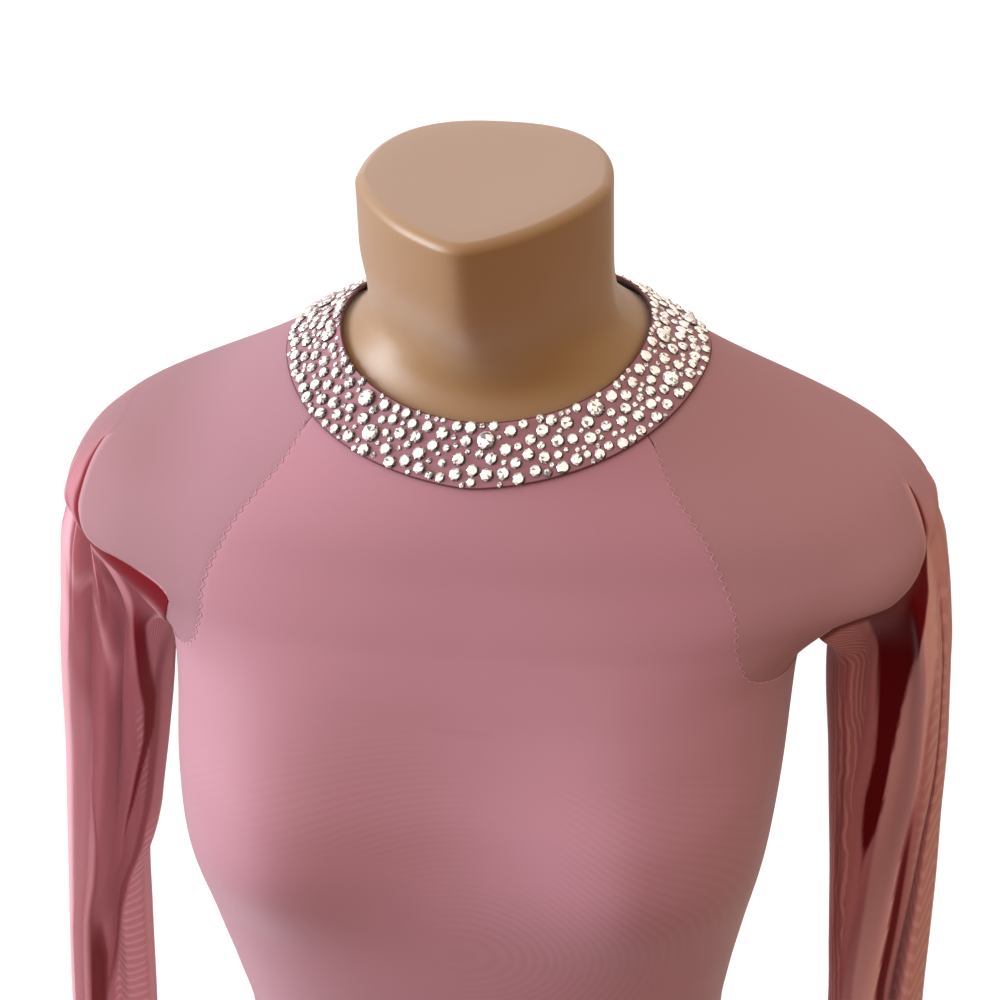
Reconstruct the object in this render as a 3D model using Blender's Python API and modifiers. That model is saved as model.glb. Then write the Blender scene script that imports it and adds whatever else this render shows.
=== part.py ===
"""Figure skating dress on a limbless torso form. Metres, +Z up, the front faces -Y."""

import math

import bmesh
import bpy
import numpy as np
from mathutils import Vector

PART = "figure_skating_dress"

# Heights above the flat ends of the form's thighs
FORM_TOP = 0.873
CROTCH = 0.110
SEAM = 0.290  # the low waist seam, where bodice, skirt and briefs meet
CUFF = 0.150
HEM = 0.035

# Cloth and clearances
WALL = 0.0012  # stretch cloth
BAND_WALL = 0.0022  # the stiffened neckband
SEAM_GAP = 0.0003
# How far the form lies inside the figure that the cloth follows, by height
INSET_HEIGHTS = (0.0, 0.285, 0.330, 0.600, 0.650, 0.735, 0.756, FORM_TOP)
INSETS = (0.0040, 0.0040, 0.0022, 0.0022, 0.0032, 0.0030, 0.0012, 0.0012)
FORM_BETWEEN = (0.1505, 0.2475, 0.2920, 0.3400, 0.3880, 0.4320)  # rows beside the figure's own
CLEAR = 0.0012  # between the hanging sleeves and what they pass

# The figure by level sections. Half width, front and back are measured from the
# section's own centre, and squareness is a superellipse's exponent.
FIGURE_COLUMNS = ("height", "half_width", "front", "back", "square_front", "square_back", "centre")
FIGURE = np.array([
    (0.000, 0.150, 0.084, 0.090, 2.30, 2.30, -0.006),
    (0.060, 0.154, 0.088, 0.093, 2.30, 2.30, -0.006),
    (0.125, 0.160, 0.092, 0.099, 2.30, 2.30, -0.006),
    (0.175, 0.166, 0.096, 0.107, 2.30, 2.30, -0.007),
    (0.225, 0.169, 0.102, 0.113, 2.30, 2.30, -0.009),
    (0.270, 0.164, 0.102, 0.112, 2.25, 2.30, -0.014),
    (0.315, 0.149, 0.096, 0.104, 2.25, 2.30, -0.026),
    (0.365, 0.127, 0.084, 0.094, 2.35, 2.30, -0.042),
    (0.410, 0.114, 0.078, 0.090, 2.45, 2.30, -0.050),
    (0.455, 0.116, 0.081, 0.098, 2.50, 2.30, -0.053),
    (0.490, 0.121, 0.087, 0.108, 2.55, 2.35, -0.055),
    (0.525, 0.128, 0.094, 0.118, 2.60, 2.40, -0.056),
    (0.565, 0.137, 0.099, 0.126, 2.55, 2.50, -0.056),
    (0.605, 0.142, 0.098, 0.127, 2.55, 2.55, -0.052),
    (0.632, 0.144, 0.103, 0.121, 2.55, 2.60, -0.038),
    (0.648, 0.1455, 0.1075, 0.117, 2.55, 2.60, -0.028),
    (0.657, 0.1475, 0.1125, 0.113, 2.55, 2.60, -0.020),
    (0.664, 0.1500, 0.1155, 0.110, 2.55, 2.60, -0.015),
    (0.672, 0.1600, 0.1195, 0.105, 2.55, 2.60, -0.008),
    (0.680, 0.1750, 0.1225, 0.100, 2.55, 2.60, -0.002),
    (0.688, 0.1900, 0.1225, 0.0965, 2.55, 2.60, 0.001),
    (0.697, 0.2025, 0.1205, 0.0950, 2.55, 2.60, 0.002),
    (0.706, 0.2070, 0.1180, 0.0940, 2.50, 2.55, 0.003),
    (0.716, 0.2030, 0.1150, 0.0925, 2.45, 2.50, 0.004),
    (0.730, 0.1890, 0.1105, 0.0910, 2.35, 2.40, 0.004),
    (0.743, 0.164, 0.104, 0.089, 2.20, 2.25, 0.004),
    (0.756, 0.137, 0.095, 0.086, 2.00, 2.05, 0.004),
    (0.769, 0.112, 0.085, 0.081, 1.90, 1.90, 0.005),
    (0.781, 0.090, 0.073, 0.077, 1.80, 1.90, 0.004),
    (0.793, 0.070, 0.065, 0.070, 1.80, 2.00, -0.002),
    (0.806, 0.0585, 0.061, 0.068, 1.60, 2.20, -0.012),
    (0.826, 0.056, 0.068, 0.064, 1.45, 2.35, -0.017),
    (FORM_TOP, 0.056, 0.077, 0.064, 1.40, 2.50, -0.023),
])
# The two soft mounds of the chest: one place, its reach and its spread
CHEST = {"side": 0.076, "height": 0.575, "reach": 0.022, "wide": 0.050, "above": 0.065, "below": 0.050}

# Edges of the neckband: height in front, at the side and behind, and how late it climbs
NECK_EDGE = {"front": 0.776, "side": 0.793, "back": 0.788, "power": 2.0}
BAND_EDGE = {"front": 0.754, "side": 0.777, "back": 0.762, "power": 1.35}
BAND_OPENS = math.radians(0.6)  # half the gap between the band's ends, behind
BAND_COLUMNS = 52
BAND_ROWS = 3

# The raglan seam from the neckband to the underarm: its turn from the centre line,
# its height there, and the panel's height at the centre line, in front and behind.
RAGLAN_COLUMNS = ("turn", "height", "centre_front", "centre_back")
RAGLAN = np.array([
    (43.5, 0.7690, 0.7540, 0.7620),
    (38.0, 0.7560, 0.7430, 0.7490),
    (34.0, 0.7440, 0.7320, 0.7350),
    (31.5, 0.7310, 0.7200, 0.7220),
    (30.5, 0.7175, 0.7080, 0.7090),
    (30.8, 0.7040, 0.6960, 0.6970),
    (33.0, 0.6910, 0.6855, 0.6860),
    (38.0, 0.6810, 0.6770, 0.6775),
    (45.0, 0.6725, 0.6690, 0.6700),
    (55.0, 0.6660, 0.6625, 0.6640),
    (69.0, 0.6605, 0.6580, 0.6590),
    (90.0, 0.6560, 0.6540, 0.6550),
])
# Level rows of the bodice from the underarm to the seam
BODICE_HEIGHTS = (
    0.643, 0.628, 0.610, 0.590, 0.570, 0.548, 0.524, 0.496, 0.464, 0.430, 0.398, 0.368, 0.342, 0.316, SEAM
)
FRONT_COLUMNS = 16
BACK_COLUMNS = 7

# The keyhole below the band, behind
KEYHOLE_TOP = 0.760
KEYHOLE_END = 0.665
KEYHOLE_HALF = 0.011

# The loop where a sleeve leaves the shoulder, by the sleeve's own columns, from the
# shoulder's outer edge through the front to the underarm: its turn and height on the figure
LEAVE_COLUMNS = ("turn", "height")
LEAVE = np.array([
    (90.0, 0.7020), (86.0, 0.7020), (82.5, 0.7040), (79.5, 0.7090), (76.5, 0.7230), (70.0, 0.7210),
    (63.5, 0.7110), (56.5, 0.7050), (50.0, 0.7010), (44.0, 0.6975), (41.0, 0.6920), (45.5, 0.6860),
    (53.5, 0.6810), (63.5, 0.6775), (76.0, 0.6745), (90.0, 0.6720),
])
NECK_POINTS = 4  # sleeve columns along the band, from the shoulder's top to a seam
SHOULDER_RINGS = 5
DROP_SHARES = (0.14, 0.38, 0.68)  # rings between the shoulder and the hanging part

# Level sections of a hanging sleeve: its outermost and innermost reach from the middle
# of the dress, its front and back edge, and how far it leans to the wearer's right
SLEEVE_COLUMNS = ("height", "outer", "inner", "front", "back", "lean")
SLEEVE = np.array([
    (0.650, 0.2180, 0.1600, -0.056, 0.064, 0.000),
    (0.620, 0.2200, 0.1615, -0.052, 0.063, 0.001),
    (0.580, 0.2215, 0.1655, -0.049, 0.061, 0.001),
    (0.530, 0.2225, 0.1710, -0.046, 0.059, 0.003),
    (0.475, 0.2240, 0.1765, -0.044, 0.057, 0.006),
    (0.425, 0.2250, 0.1785, -0.042, 0.056, 0.008),
    (0.375, 0.2260, 0.1790, -0.040, 0.055, 0.009),
    (0.325, 0.2290, 0.1840, -0.038, 0.053, 0.006),
    (0.270, 0.2350, 0.1930, -0.036, 0.051, 0.003),
    (0.210, 0.2410, 0.2010, -0.034, 0.049, 0.001),
    (CUFF, 0.2460, 0.2080, -0.032, 0.047, 0.000),
])
SLEEVE_MIDDLE = 0.008  # the sleeve's middle, front to back
# The folds round a sleeve's front, by its columns from the outer to the inner edge, as
# shares of its width and of its front reach, near the shoulder and at the forearm. The
# wearer's right sleeve is on the left side of the view.
FOLDS_TOP = 0.620
FOLDS_LOW = 0.380
FOLD_COLUMNS = ("across_top", "ahead_top", "across_low", "ahead_low")
NEAR_FOLDS = np.array([
    (0.00, 0.00, 0.00, 0.00), (0.04, 0.50, 0.05, 0.50), (0.14, 0.85, 0.14, 0.82), (0.28, 1.00, 0.26, 0.96),
    (0.34, 0.42, 0.31, 0.58), (0.42, 0.70, 0.35, 0.82), (0.50, 0.78, 0.40, 0.92), (0.58, 0.72, 0.45, 0.86),
    (0.66, 0.48, 0.47, 0.42), (0.73, 0.70, 0.53, 0.12), (0.80, 0.76, 0.61, 0.05), (0.86, 0.72, 0.70, 0.12),
    (0.91, 0.62, 0.79, 0.18), (0.95, 0.46, 0.88, 0.14), (0.985, 0.24, 0.96, 0.04), (1.00, 0.00, 1.00, -0.08),
])
FAR_FOLDS = np.array([
    (0.00, 0.00, 0.00, 0.00), (0.01, 0.20, 0.07, 0.48), (0.025, 0.36, 0.17, 0.74), (0.045, 0.48, 0.28, 0.80),
    (0.065, 0.38, 0.37, 0.38), (0.10, 0.82, 0.46, 0.80), (0.16, 0.96, 0.58, 0.95), (0.22, 0.86, 0.72, 0.95),
    (0.28, 0.42, 0.83, 0.80), (0.42, 0.34, 0.88, 0.44), (0.60, 0.36, 0.91, 0.35), (0.75, 0.52, 0.94, 0.28),
    (0.85, 0.56, 0.96, 0.21), (0.93, 0.42, 0.98, 0.14), (0.98, 0.22, 0.99, 0.07), (1.00, 0.00, 1.00, 0.00),
])
BACK_FOLDS = np.array([
    (0.00, 0.00, 0.00, 0.00), (0.03, 0.42, 0.04, 0.45), (0.10, 0.72, 0.11, 0.75), (0.19, 0.92, 0.20, 0.92),
    (0.29, 1.00, 0.31, 0.98), (0.39, 0.96, 0.42, 0.94), (0.49, 0.70, 0.50, 0.62), (0.57, 0.90, 0.57, 0.88),
    (0.65, 0.94, 0.65, 0.95), (0.73, 0.90, 0.73, 0.93), (0.80, 0.84, 0.80, 0.87), (0.86, 0.75, 0.86, 0.79),
    (0.91, 0.63, 0.91, 0.67), (0.95, 0.46, 0.95, 0.50), (0.985, 0.24, 0.985, 0.27), (1.00, 0.00, 1.00, 0.00),
])

# The skirt: a front and a back piece of flared cut, with soft flutes
FLUTES = 13
FLUTE_COLUMNS = 5
SKIRT_COLUMNS = 33  # across each piece
FLUTE_DEPTH = 0.015
SKIRT_ROWS = 7
SKIRT_OUT = 0.0018  # its top edge lies outside the top edge of the briefs
FLARE_SIDE = 0.046  # reach gained from seam to hem
FLARE_FRONT = 0.058
FLARE_BACK = 0.070

# The briefs below the seam
LEG_SIDE = 0.205
GUSSET_SEAM = 0.138
GUSSET_TURN = math.radians(11.0)
BRIEF_ROWS = 10
BRIEF_COLUMNS = 12
THIGH_GAP = 0.022  # half the gap between the thighs
GUSSET_HALF_ANGLE = math.radians(42.0)

# The stones raised on the band. The large ones have their places: the turn in degrees
# and how far down the band they sit. The middle ones are thrown between them.
STONE_COLUMNS = ("turn", "across")
LARGE_STONES = np.array([
    (-150.0, 0.66), (-128.0, 0.30), (-103.0, 0.55), (-70.5, 0.24), (-33.0, 0.22), (-24.5, 0.64),
    (4.0, 0.27), (35.0, 0.22), (62.5, 0.66), (84.0, 0.25), (109.0, 0.70), (131.0, 0.32), (152.0, 0.66),
])
LARGE_RADIUS, LARGE_REACH = 0.0043, 0.0026
MIDDLE_COUNT, MIDDLE_RADIUS, MIDDLE_REACH = 26, 0.0031, 0.0020
STONE_SIDES = 7
STONE_SPACE = 0.0004
STONE_SUNK = 0.0008
STONE_SEED = 27
TAB = math.radians(9.0)  # the plain ends of the band, behind

BUTTON_RADIUS = 0.0042
BUTTON_HEIGHT = 0.0030
BUTTON_TURN = math.radians(175.2)

COLOURS = {
    "moulded_form": ((0.52, 0.34, 0.24), 0.38),
    "lined_stretch": ((0.52, 0.23, 0.27), 0.62),
    "sheer_mesh": ((0.48, 0.18, 0.21), 0.70),
    "band_cloth": ((0.20, 0.06, 0.08), 0.60),
    "skirt_mesh": ((0.50, 0.21, 0.25), 0.70),
    "brief_cloth": ((0.50, 0.22, 0.26), 0.62),
    "button_shell": ((0.70, 0.66, 0.62), 0.20),
}


# Plain helpers


def smooth_column(table, column, at):
    """One column of a table at any height or index, without overshoot between its rows."""
    keys, values = table[:, 0], table[:, column]
    steps = np.diff(keys)
    slopes = np.diff(values) / steps
    tangents = np.zeros_like(values)
    tangents[0], tangents[-1] = slopes[0], slopes[-1]
    before, after = slopes[:-1], slopes[1:]
    same_way = before * after > 0
    near = 2 * steps[1:] + steps[:-1]
    far = steps[1:] + 2 * steps[:-1]
    with np.errstate(divide="ignore", invalid="ignore"):
        mean = (near + far) / (near / before + far / after)
    tangents[1:-1] = np.where(same_way, mean, 0.0)
    at = np.clip(at, keys[0], keys[-1])
    row = np.clip(np.searchsorted(keys, at) - 1, 0, len(keys) - 2)
    t = (at - keys[row]) / steps[row]
    return (
        (2 * t**3 - 3 * t**2 + 1) * values[row]
        + (t**3 - 2 * t**2 + t) * steps[row] * tangents[row]
        + (3 * t**2 - 2 * t**3) * values[row + 1]
        + (t**3 - t**2) * steps[row] * tangents[row + 1]
    )


def on_section(turn, height):
    """The bare figure: turn runs from the front over +X to the back."""
    half, front, back, square_front, square_back, centre = (
        smooth_column(FIGURE, column, height) for column in range(1, 7)
    )
    across, ahead = np.sin(turn), np.cos(turn)
    in_front = ahead >= 0
    power = 2 / np.where(in_front, square_front, square_back)
    x = half * np.sign(across) * np.abs(across) ** power
    y = centre - np.where(in_front, front, back) * np.sign(ahead) * np.abs(ahead) ** power
    spread = np.where(height > CHEST["height"], CHEST["above"], CHEST["below"])
    mound = np.exp(-(((np.abs(x) - CHEST["side"]) / CHEST["wide"]) ** 2))
    mound = mound * np.exp(-(((height - CHEST["height"]) / spread) ** 2))
    y = y - CHEST["reach"] * mound * np.clip(3 * ahead, 0, 1)
    return np.stack([x, y, height + 0 * x], axis=-1)


def on_figure(turn, height, out=0.0):
    """Points on the figure, or on a layer that lies out from it."""
    turn, height, out = np.broadcast_arrays(
        np.asarray(turn, float), np.asarray(height, float), np.asarray(out, float)
    )
    step = 0.02
    rise = 0.0015
    low = np.clip(height - rise, 0, FORM_TOP)
    high = np.clip(height + rise, 0, FORM_TOP)
    round_it = on_section(turn + step, height) - on_section(turn - step, height)
    up_it = on_section(turn, high) - on_section(turn, low)
    normal = np.cross(round_it, up_it)
    normal /= np.linalg.norm(normal, axis=-1, keepdims=True)
    return on_section(turn, height) + normal * out[..., None]


def edge_height(turn, edge):
    """The height of a neckband edge at a turn."""
    end = np.where(np.cos(turn) >= 0, edge["front"], edge["back"])
    return end + (edge["side"] - end) * np.abs(np.sin(turn)) ** edge["power"]


def material(name):
    made = bpy.data.materials.get(name) or bpy.data.materials.new(name)
    made.use_nodes = True
    shader = made.node_tree.nodes["Principled BSDF"]
    colour, roughness = COLOURS[name]
    shader.inputs["Base Color"].default_value = (*colour, 1.0)
    shader.inputs["Roughness"].default_value = roughness
    return made


def new_collection(name, shown=True):
    made = bpy.data.collections.new(name)
    bpy.context.scene.collection.children.link(made)
    made.hide_render = not shown
    return made


def add_object(name, mesh, finish, collection):
    made = bpy.data.objects.new(name, mesh)
    if finish:
        mesh.materials.append(material(finish))
    mesh.shade_smooth()
    collection.objects.link(made)
    return made


def grid_mesh(name, rows, closed, caps=False):
    """A mesh over rows of points; a closed one joins each row's end to its start."""
    rows = np.asarray(rows)
    count, width = rows.shape[:2]
    points = [tuple(point) for row in rows for point in row]
    faces = []
    for row in range(count - 1):
        for column in range(width if closed else width - 1):
            after = (column + 1) % width
            faces.append((
                row * width + column,
                row * width + after,
                (row + 1) * width + after,
                (row + 1) * width + column,
            ))
    if caps:
        faces.append(tuple(range(width))[::-1])
        faces.append(tuple(range((count - 1) * width, count * width)))
    mesh = bpy.data.meshes.new(name)
    mesh.from_pydata(points, [], faces)
    mesh.validate()
    made = bmesh.new()
    made.from_mesh(mesh)
    bmesh.ops.recalc_face_normals(made, faces=made.faces)
    made.to_mesh(mesh)
    made.free()
    return mesh


def face_outward(mesh):
    """Turns an open sheet's faces away from the middle line of the dress."""
    away = 0.0
    for face in mesh.polygons:
        away += face.area * (face.normal.x * face.center.x + face.normal.y * face.center.y)
    if away < 0:
        mesh.flip_normals()


def add_cloth(name, rows, closed, wall, finish, collection, flip=None):
    """An open sheet over rows of points, given its thickness outwards."""
    mesh = grid_mesh(name, rows, closed)
    if flip is None:
        face_outward(mesh)
    elif flip:
        mesh.flip_normals()
    sheet = add_object(name, mesh, finish, collection)
    thick = sheet.modifiers.new("wall", "SOLIDIFY")
    thick.thickness = wall
    thick.offset = 1.0
    thick.use_rim = True
    return sheet


# The form


def inset_at(height):
    return np.interp(height, INSET_HEIGHTS, INSETS)


def form_rows():
    """Sections of the form, with a rounded edge round its flat top."""
    turns = np.linspace(-math.pi, math.pi, 40, endpoint=False)
    heights = sorted([*FIGURE[:-1, 0], *FORM_BETWEEN])
    rows = [on_figure(turns, height, -inset_at(height)) for height in heights]
    rows[0][:, 2] = 0.0
    rim = 0.006
    for angle in (0, 30, 60, 90):
        lower = rim * (1 - math.sin(math.radians(angle)))
        inward = rim * (1 - math.cos(math.radians(angle)))
        row = on_section(turns, np.full(len(turns), FORM_TOP))
        middle = np.array([0.0, FIGURE[-1, 6], FORM_TOP])
        reach = np.linalg.norm(row - middle, axis=1, keepdims=True)
        row = middle + (row - middle) * (1 - (inward + INSETS[-1]) / reach)
        row[:, 2] = FORM_TOP - lower
        rows.append(row)
    return rows


def thigh_gap_cutter(collection):
    """A round-topped slot through the form's lower end, front to back."""
    depth = 0.30
    middle = CROTCH - THIGH_GAP
    outline = [(THIGH_GAP, -0.02)]
    for step in range(9):
        angle = math.pi * step / 8
        outline.append((THIGH_GAP * math.cos(angle), middle + THIGH_GAP * math.sin(angle)))
    outline.append((-THIGH_GAP, -0.02))
    made = bmesh.new()
    near = made.faces.new([made.verts.new((x, -depth / 2, z)) for x, z in outline])
    grown = bmesh.ops.extrude_face_region(made, geom=[near])
    far = [item for item in grown["geom"] if isinstance(item, bmesh.types.BMVert)]
    bmesh.ops.translate(made, verts=far, vec=(0, depth, 0))
    bmesh.ops.recalc_face_normals(made, faces=made.faces)
    mesh = bpy.data.meshes.new("thigh_gap")
    made.to_mesh(mesh)
    made.free()
    cutter = add_object("thigh_gap", mesh, None, collection)
    cutter.hide_render = True
    cutter.display_type = "WIRE"
    return cutter


def add_form(parts, cutters):
    form = add_object("form", grid_mesh("form", form_rows(), closed=True, caps=True), "moulded_form", parts)
    cut = form.modifiers.new("thigh_gap", "BOOLEAN")
    cut.operation = "DIFFERENCE"
    cut.object = thigh_gap_cutter(cutters)
    cut.solver = "EXACT"
    return form


# Bodice


def beside(turn, height, gap):
    """The turn that lies a gap further round the figure."""
    apart = np.linalg.norm(on_section(turn + 0.01, height) - on_section(turn, height), axis=-1)
    return turn + 0.01 * gap / apart


def raglan_edge(way):
    """Turns and heights of a raglan edge, half a gap from the seam: way is 1 for the sleeve's, -1 for a panel's."""
    turn, height = np.radians(RAGLAN[:, 0]), RAGLAN[:, 1].copy()
    height[0] = float(edge_height(turn[0], BAND_EDGE))
    run, drop = np.gradient(turn) * 0.13, np.gradient(height)
    length = np.hypot(run, drop)
    # Under the arm the figure turns outwards, so the two walls lean together there
    half = np.where(turn > math.radians(37), 0.9, 0.5) * SEAM_GAP
    aside, rise = -drop / length * half, run / length * half
    aside[-1], rise[-1] = 0.0, half[-1]
    turns = np.array([float(beside(t, h, way * a)) for t, h, a in zip(turn, height, aside)])
    return turns, height + way * rise


def keyhole_turn(height):
    """How far a back panel's edge stands from the centre line: half a seam gap, or more at the keyhole."""
    span = np.clip((KEYHOLE_TOP - height) / (KEYHOLE_TOP - KEYHOLE_END), 0, 1)
    half = SEAM_GAP / 2 + KEYHOLE_HALF * np.sin(math.pi * np.sqrt(span)) ** 0.8
    return half / 0.105


def bodice_rows(centre_column, columns, whole):
    """Rows from the band's edge to the waist: the turn of each row's end, its heights and its spread."""
    rows = []
    spread = np.linspace(-1, 1, columns + 1) if whole else np.linspace(0, 1, columns + 1)
    for line, turn, height in zip(RAGLAN, *raglan_edge(-1)):
        middle = line[centre_column]
        rows.append((turn, middle + (height - middle) * np.abs(spread) ** 1.6, spread))
    for height in BODICE_HEIGHTS:
        side = float(beside(math.pi / 2, height, -SEAM_GAP / 2))
        rows.append((side, np.full(columns + 1, height), spread))
    return rows


def panel_points(rows, behind, whole, side):
    """Points of a panel: the seam edges stand half a gap back, and so does the edge below the band."""
    points = []
    for number, (edge, height, spread) in enumerate(rows):
        if whole:
            turn = edge * spread
        else:
            first = keyhole_turn(height[0])
            turn = first + (edge - first) * spread
        if number == 0:
            height = band_edge_at(turn, behind) - 1.5 * SEAM_GAP
        if number == len(rows) - 1:
            height = height + SEAM_GAP
        angle = math.pi - turn if behind else turn
        points.append(on_figure(angle * side, height))
    return points


def band_edge_at(turn, behind):
    return edge_height(math.pi - turn if behind else turn, BAND_EDGE)


def add_bodice(parts):
    front = bodice_rows(RAGLAN_COLUMNS.index("centre_front"), FRONT_COLUMNS, True)
    add_cloth("bodice_front", panel_points(front, False, True, 1), False, WALL, "lined_stretch", parts)
    back = bodice_rows(RAGLAN_COLUMNS.index("centre_back"), BACK_COLUMNS, False)
    for name, side in (("bodice_back_left", 1), ("bodice_back_right", -1)):
        add_cloth(name, panel_points(back, True, False, side), False, WALL, "lined_stretch", parts)


# Sleeves


def seam_loop():
    """Turn and height of a sleeve's upper edge, by its columns: band, front seam, underarm, back seam."""
    seam_turns, seam_heights = raglan_edge(1)
    band_turns = np.linspace(math.pi / 2, seam_turns[0], NECK_POINTS + 1)[:-1]
    turns = np.concatenate([band_turns, seam_turns])
    turns = np.concatenate([turns, math.pi - turns[1:-1][::-1]])
    heights = both_halves(np.concatenate([band_turns * 0, seam_heights]))
    by_band = heights == 0
    by_band[[NECK_POINTS, -NECK_POINTS]] = True
    heights[by_band] = edge_height(turns[by_band], BAND_EDGE) - 1.5 * SEAM_GAP
    return turns, heights


def leave_loop():
    turns = np.radians(LEAVE[:, 0])
    turns = np.concatenate([turns, math.pi - turns[1:-1][::-1]])
    return turns, both_halves(LEAVE[:, 1])


def both_halves(front):
    """A loop of values from those of its front half, outer edge to inner edge."""
    return np.concatenate([front, front[1:-1][::-1]])


def hanging_section(height, folds, side):
    """A level section of the hanging sleeve."""
    outer, inner, front, back, lean = (
        float(smooth_column(SLEEVE[::-1], column, height)) for column in range(1, 6)
    )
    part = np.clip((FOLDS_TOP - height) / (FOLDS_TOP - FOLDS_LOW), 0, 1)
    ahead, behind = (
        table[:, 0:2] * (1 - part) + table[:, 2:4] * part for table in (folds, BACK_FOLDS)
    )
    across = np.concatenate([ahead[:, 0], behind[1:-1, 0][::-1]])
    x = outer + (inner - outer) * across - side * lean
    y = np.concatenate([
        SLEEVE_MIDDLE - ahead[:, 1] * (SLEEVE_MIDDLE - front),
        SLEEVE_MIDDLE + (behind[1:-1, 1] * (back - SLEEVE_MIDDLE))[::-1],
    ])
    return np.stack([x, y, np.full(len(x), height)], axis=1)


def clear_of_figure(points, clear):
    """Moves level with it any point that lies nearer the figure than the clearance."""
    turns = np.linspace(-math.pi, math.pi, 361)
    moved = points.copy()
    for number, (x, y, z) in enumerate(points):
        section = on_section(turns, np.full(len(turns), z))
        centre = float(smooth_column(FIGURE, 6, z))
        around = np.arctan2(section[:, 0], -(section[:, 1] - centre))
        reach = np.hypot(section[:, 0], section[:, 1] - centre)
        order = np.argsort(around)
        mine = math.atan2(x, -(y - centre))
        least = np.interp(mine, around[order], reach[order], period=2 * math.pi) + clear
        own = math.hypot(x, y - centre)
        if own < least:
            moved[number, 0] = x * least / own
            moved[number, 1] = centre + (y - centre) * least / own
    return moved


def sleeve_rows(side):
    top_turn, top_height = seam_loop()
    leave_turn, leave_height = leave_loop()
    folds = FAR_FOLDS if side > 0 else NEAR_FOLDS
    rows = []
    for ring in range(SHOULDER_RINGS):
        part = ring / (SHOULDER_RINGS - 1)
        turn = top_turn + (leave_turn - top_turn) * part
        height = top_height + (leave_height - top_height) * part
        rows.append(on_figure(turn, height))
    beside_panel = 2 * WALL + CLEAR
    first = hanging_section(SLEEVE[0, 0], folds, side)
    first[:, 2] = np.minimum(first[:, 2], rows[-1][:, 2] - 0.006)
    for part in DROP_SHARES:
        rows.append(clear_of_figure(rows[SHOULDER_RINGS - 1] * (1 - part) + first * part, beside_panel))
    rows.append(clear_of_figure(first, beside_panel))
    for height in SLEEVE[1:, 0]:
        section = hanging_section(height, folds, side)
        rows.append(clear_of_figure(section, beside_panel))
    rows = np.array(rows)
    rows[..., 0] *= side
    return rows


def add_sleeve(name, side, parts):
    add_cloth(name, sleeve_rows(side), True, WALL, "sheer_mesh", parts)


# Neckband


def band_point(turn, across, out):
    """A point of the band: across runs from the neckline, 0, to the lower edge, 1."""
    upper = edge_height(turn, NECK_EDGE)
    lower = edge_height(turn, BAND_EDGE)
    return on_figure(turn, upper + (lower - upper) * across, out)


def band_rows():
    turns = np.linspace(-math.pi + BAND_OPENS, math.pi - BAND_OPENS, BAND_COLUMNS + 1)
    return [band_point(turns, across, 0.0) for across in np.linspace(0, 1, BAND_ROWS + 1)]


def band_normal(turn, across):
    out = band_point(turn, across, 0.001) - band_point(turn, across, 0.0)
    return out / np.linalg.norm(out)


def stone_places():
    """Centre, radius, reach and direction of each raised stone."""
    placed = []
    for turn, across in LARGE_STONES:
        turn = math.radians(turn)
        placed.append((band_point(turn, across, BAND_WALL), LARGE_RADIUS, LARGE_REACH, band_normal(turn, across)))
    draw = np.random.RandomState(STONE_SEED)
    margin = (MIDDLE_RADIUS + 0.0008) / 0.029
    while len(placed) < len(LARGE_STONES) + MIDDLE_COUNT:
        turn = (2 * draw.random_sample() - 1) * (math.pi - TAB)
        across = margin + (1 - 2 * margin) * draw.random_sample()
        place = band_point(turn, across, BAND_WALL)
        room = [np.linalg.norm(place - other) - size - MIDDLE_RADIUS for other, size, _, _ in placed]
        if min(room) > STONE_SPACE:
            placed.append((place, MIDDLE_RADIUS, MIDDLE_REACH, band_normal(turn, across)))
    return placed


def add_neckband(parts, cutters):
    band = add_cloth("neckband", band_rows(), False, BAND_WALL, "band_cloth", parts)
    made = bmesh.new()
    for place, radius, reach, normal in stone_places():
        tilt = Vector(normal).to_track_quat("Z", "Y").to_matrix().to_4x4()
        tilt.translation = Vector(place + normal * (reach - STONE_SUNK) / 2)
        bmesh.ops.create_cone(
            made,
            cap_ends=True,
            segments=STONE_SIDES,
            radius1=radius,
            radius2=radius * 0.55,
            depth=reach + STONE_SUNK,
            matrix=tilt,
        )
    mesh = bpy.data.meshes.new("stones")
    made.to_mesh(mesh)
    made.free()
    stones = add_object("stones", mesh, None, cutters)
    stones.hide_render = True
    stones.display_type = "WIRE"
    join = band.modifiers.new("stones", "BOOLEAN")
    join.operation = "UNION"
    join.object = stones
    join.solver = "EXACT"


def add_buttons(parts):
    """Two small domed buttons on the band's end, behind."""
    for name, across in (("neck_button_upper", 0.27), ("neck_button_lower", 0.73)):
        place = band_point(BUTTON_TURN, across, BAND_WALL + SEAM_GAP)
        normal = band_normal(BUTTON_TURN, across)
        tilt = Vector(normal).to_track_quat("Z", "Y").to_matrix().to_4x4()
        tilt.translation = Vector(place + normal * BUTTON_HEIGHT / 2)
        made = bmesh.new()
        bmesh.ops.create_cone(
            made, cap_ends=True, segments=16, radius1=BUTTON_RADIUS, radius2=BUTTON_RADIUS, depth=BUTTON_HEIGHT
        )
        top = [edge for edge in made.edges if all(vert.co.z > 0 for vert in edge.verts)]
        bmesh.ops.bevel(made, geom=top, offset=0.0014, segments=3, affect="EDGES", profile=0.5)
        bmesh.ops.transform(made, matrix=tilt, verts=made.verts)
        mesh = bpy.data.meshes.new(name)
        made.to_mesh(mesh)
        made.free()
        add_object(name, mesh, "button_shell", parts)


# Skirt and briefs


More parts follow.
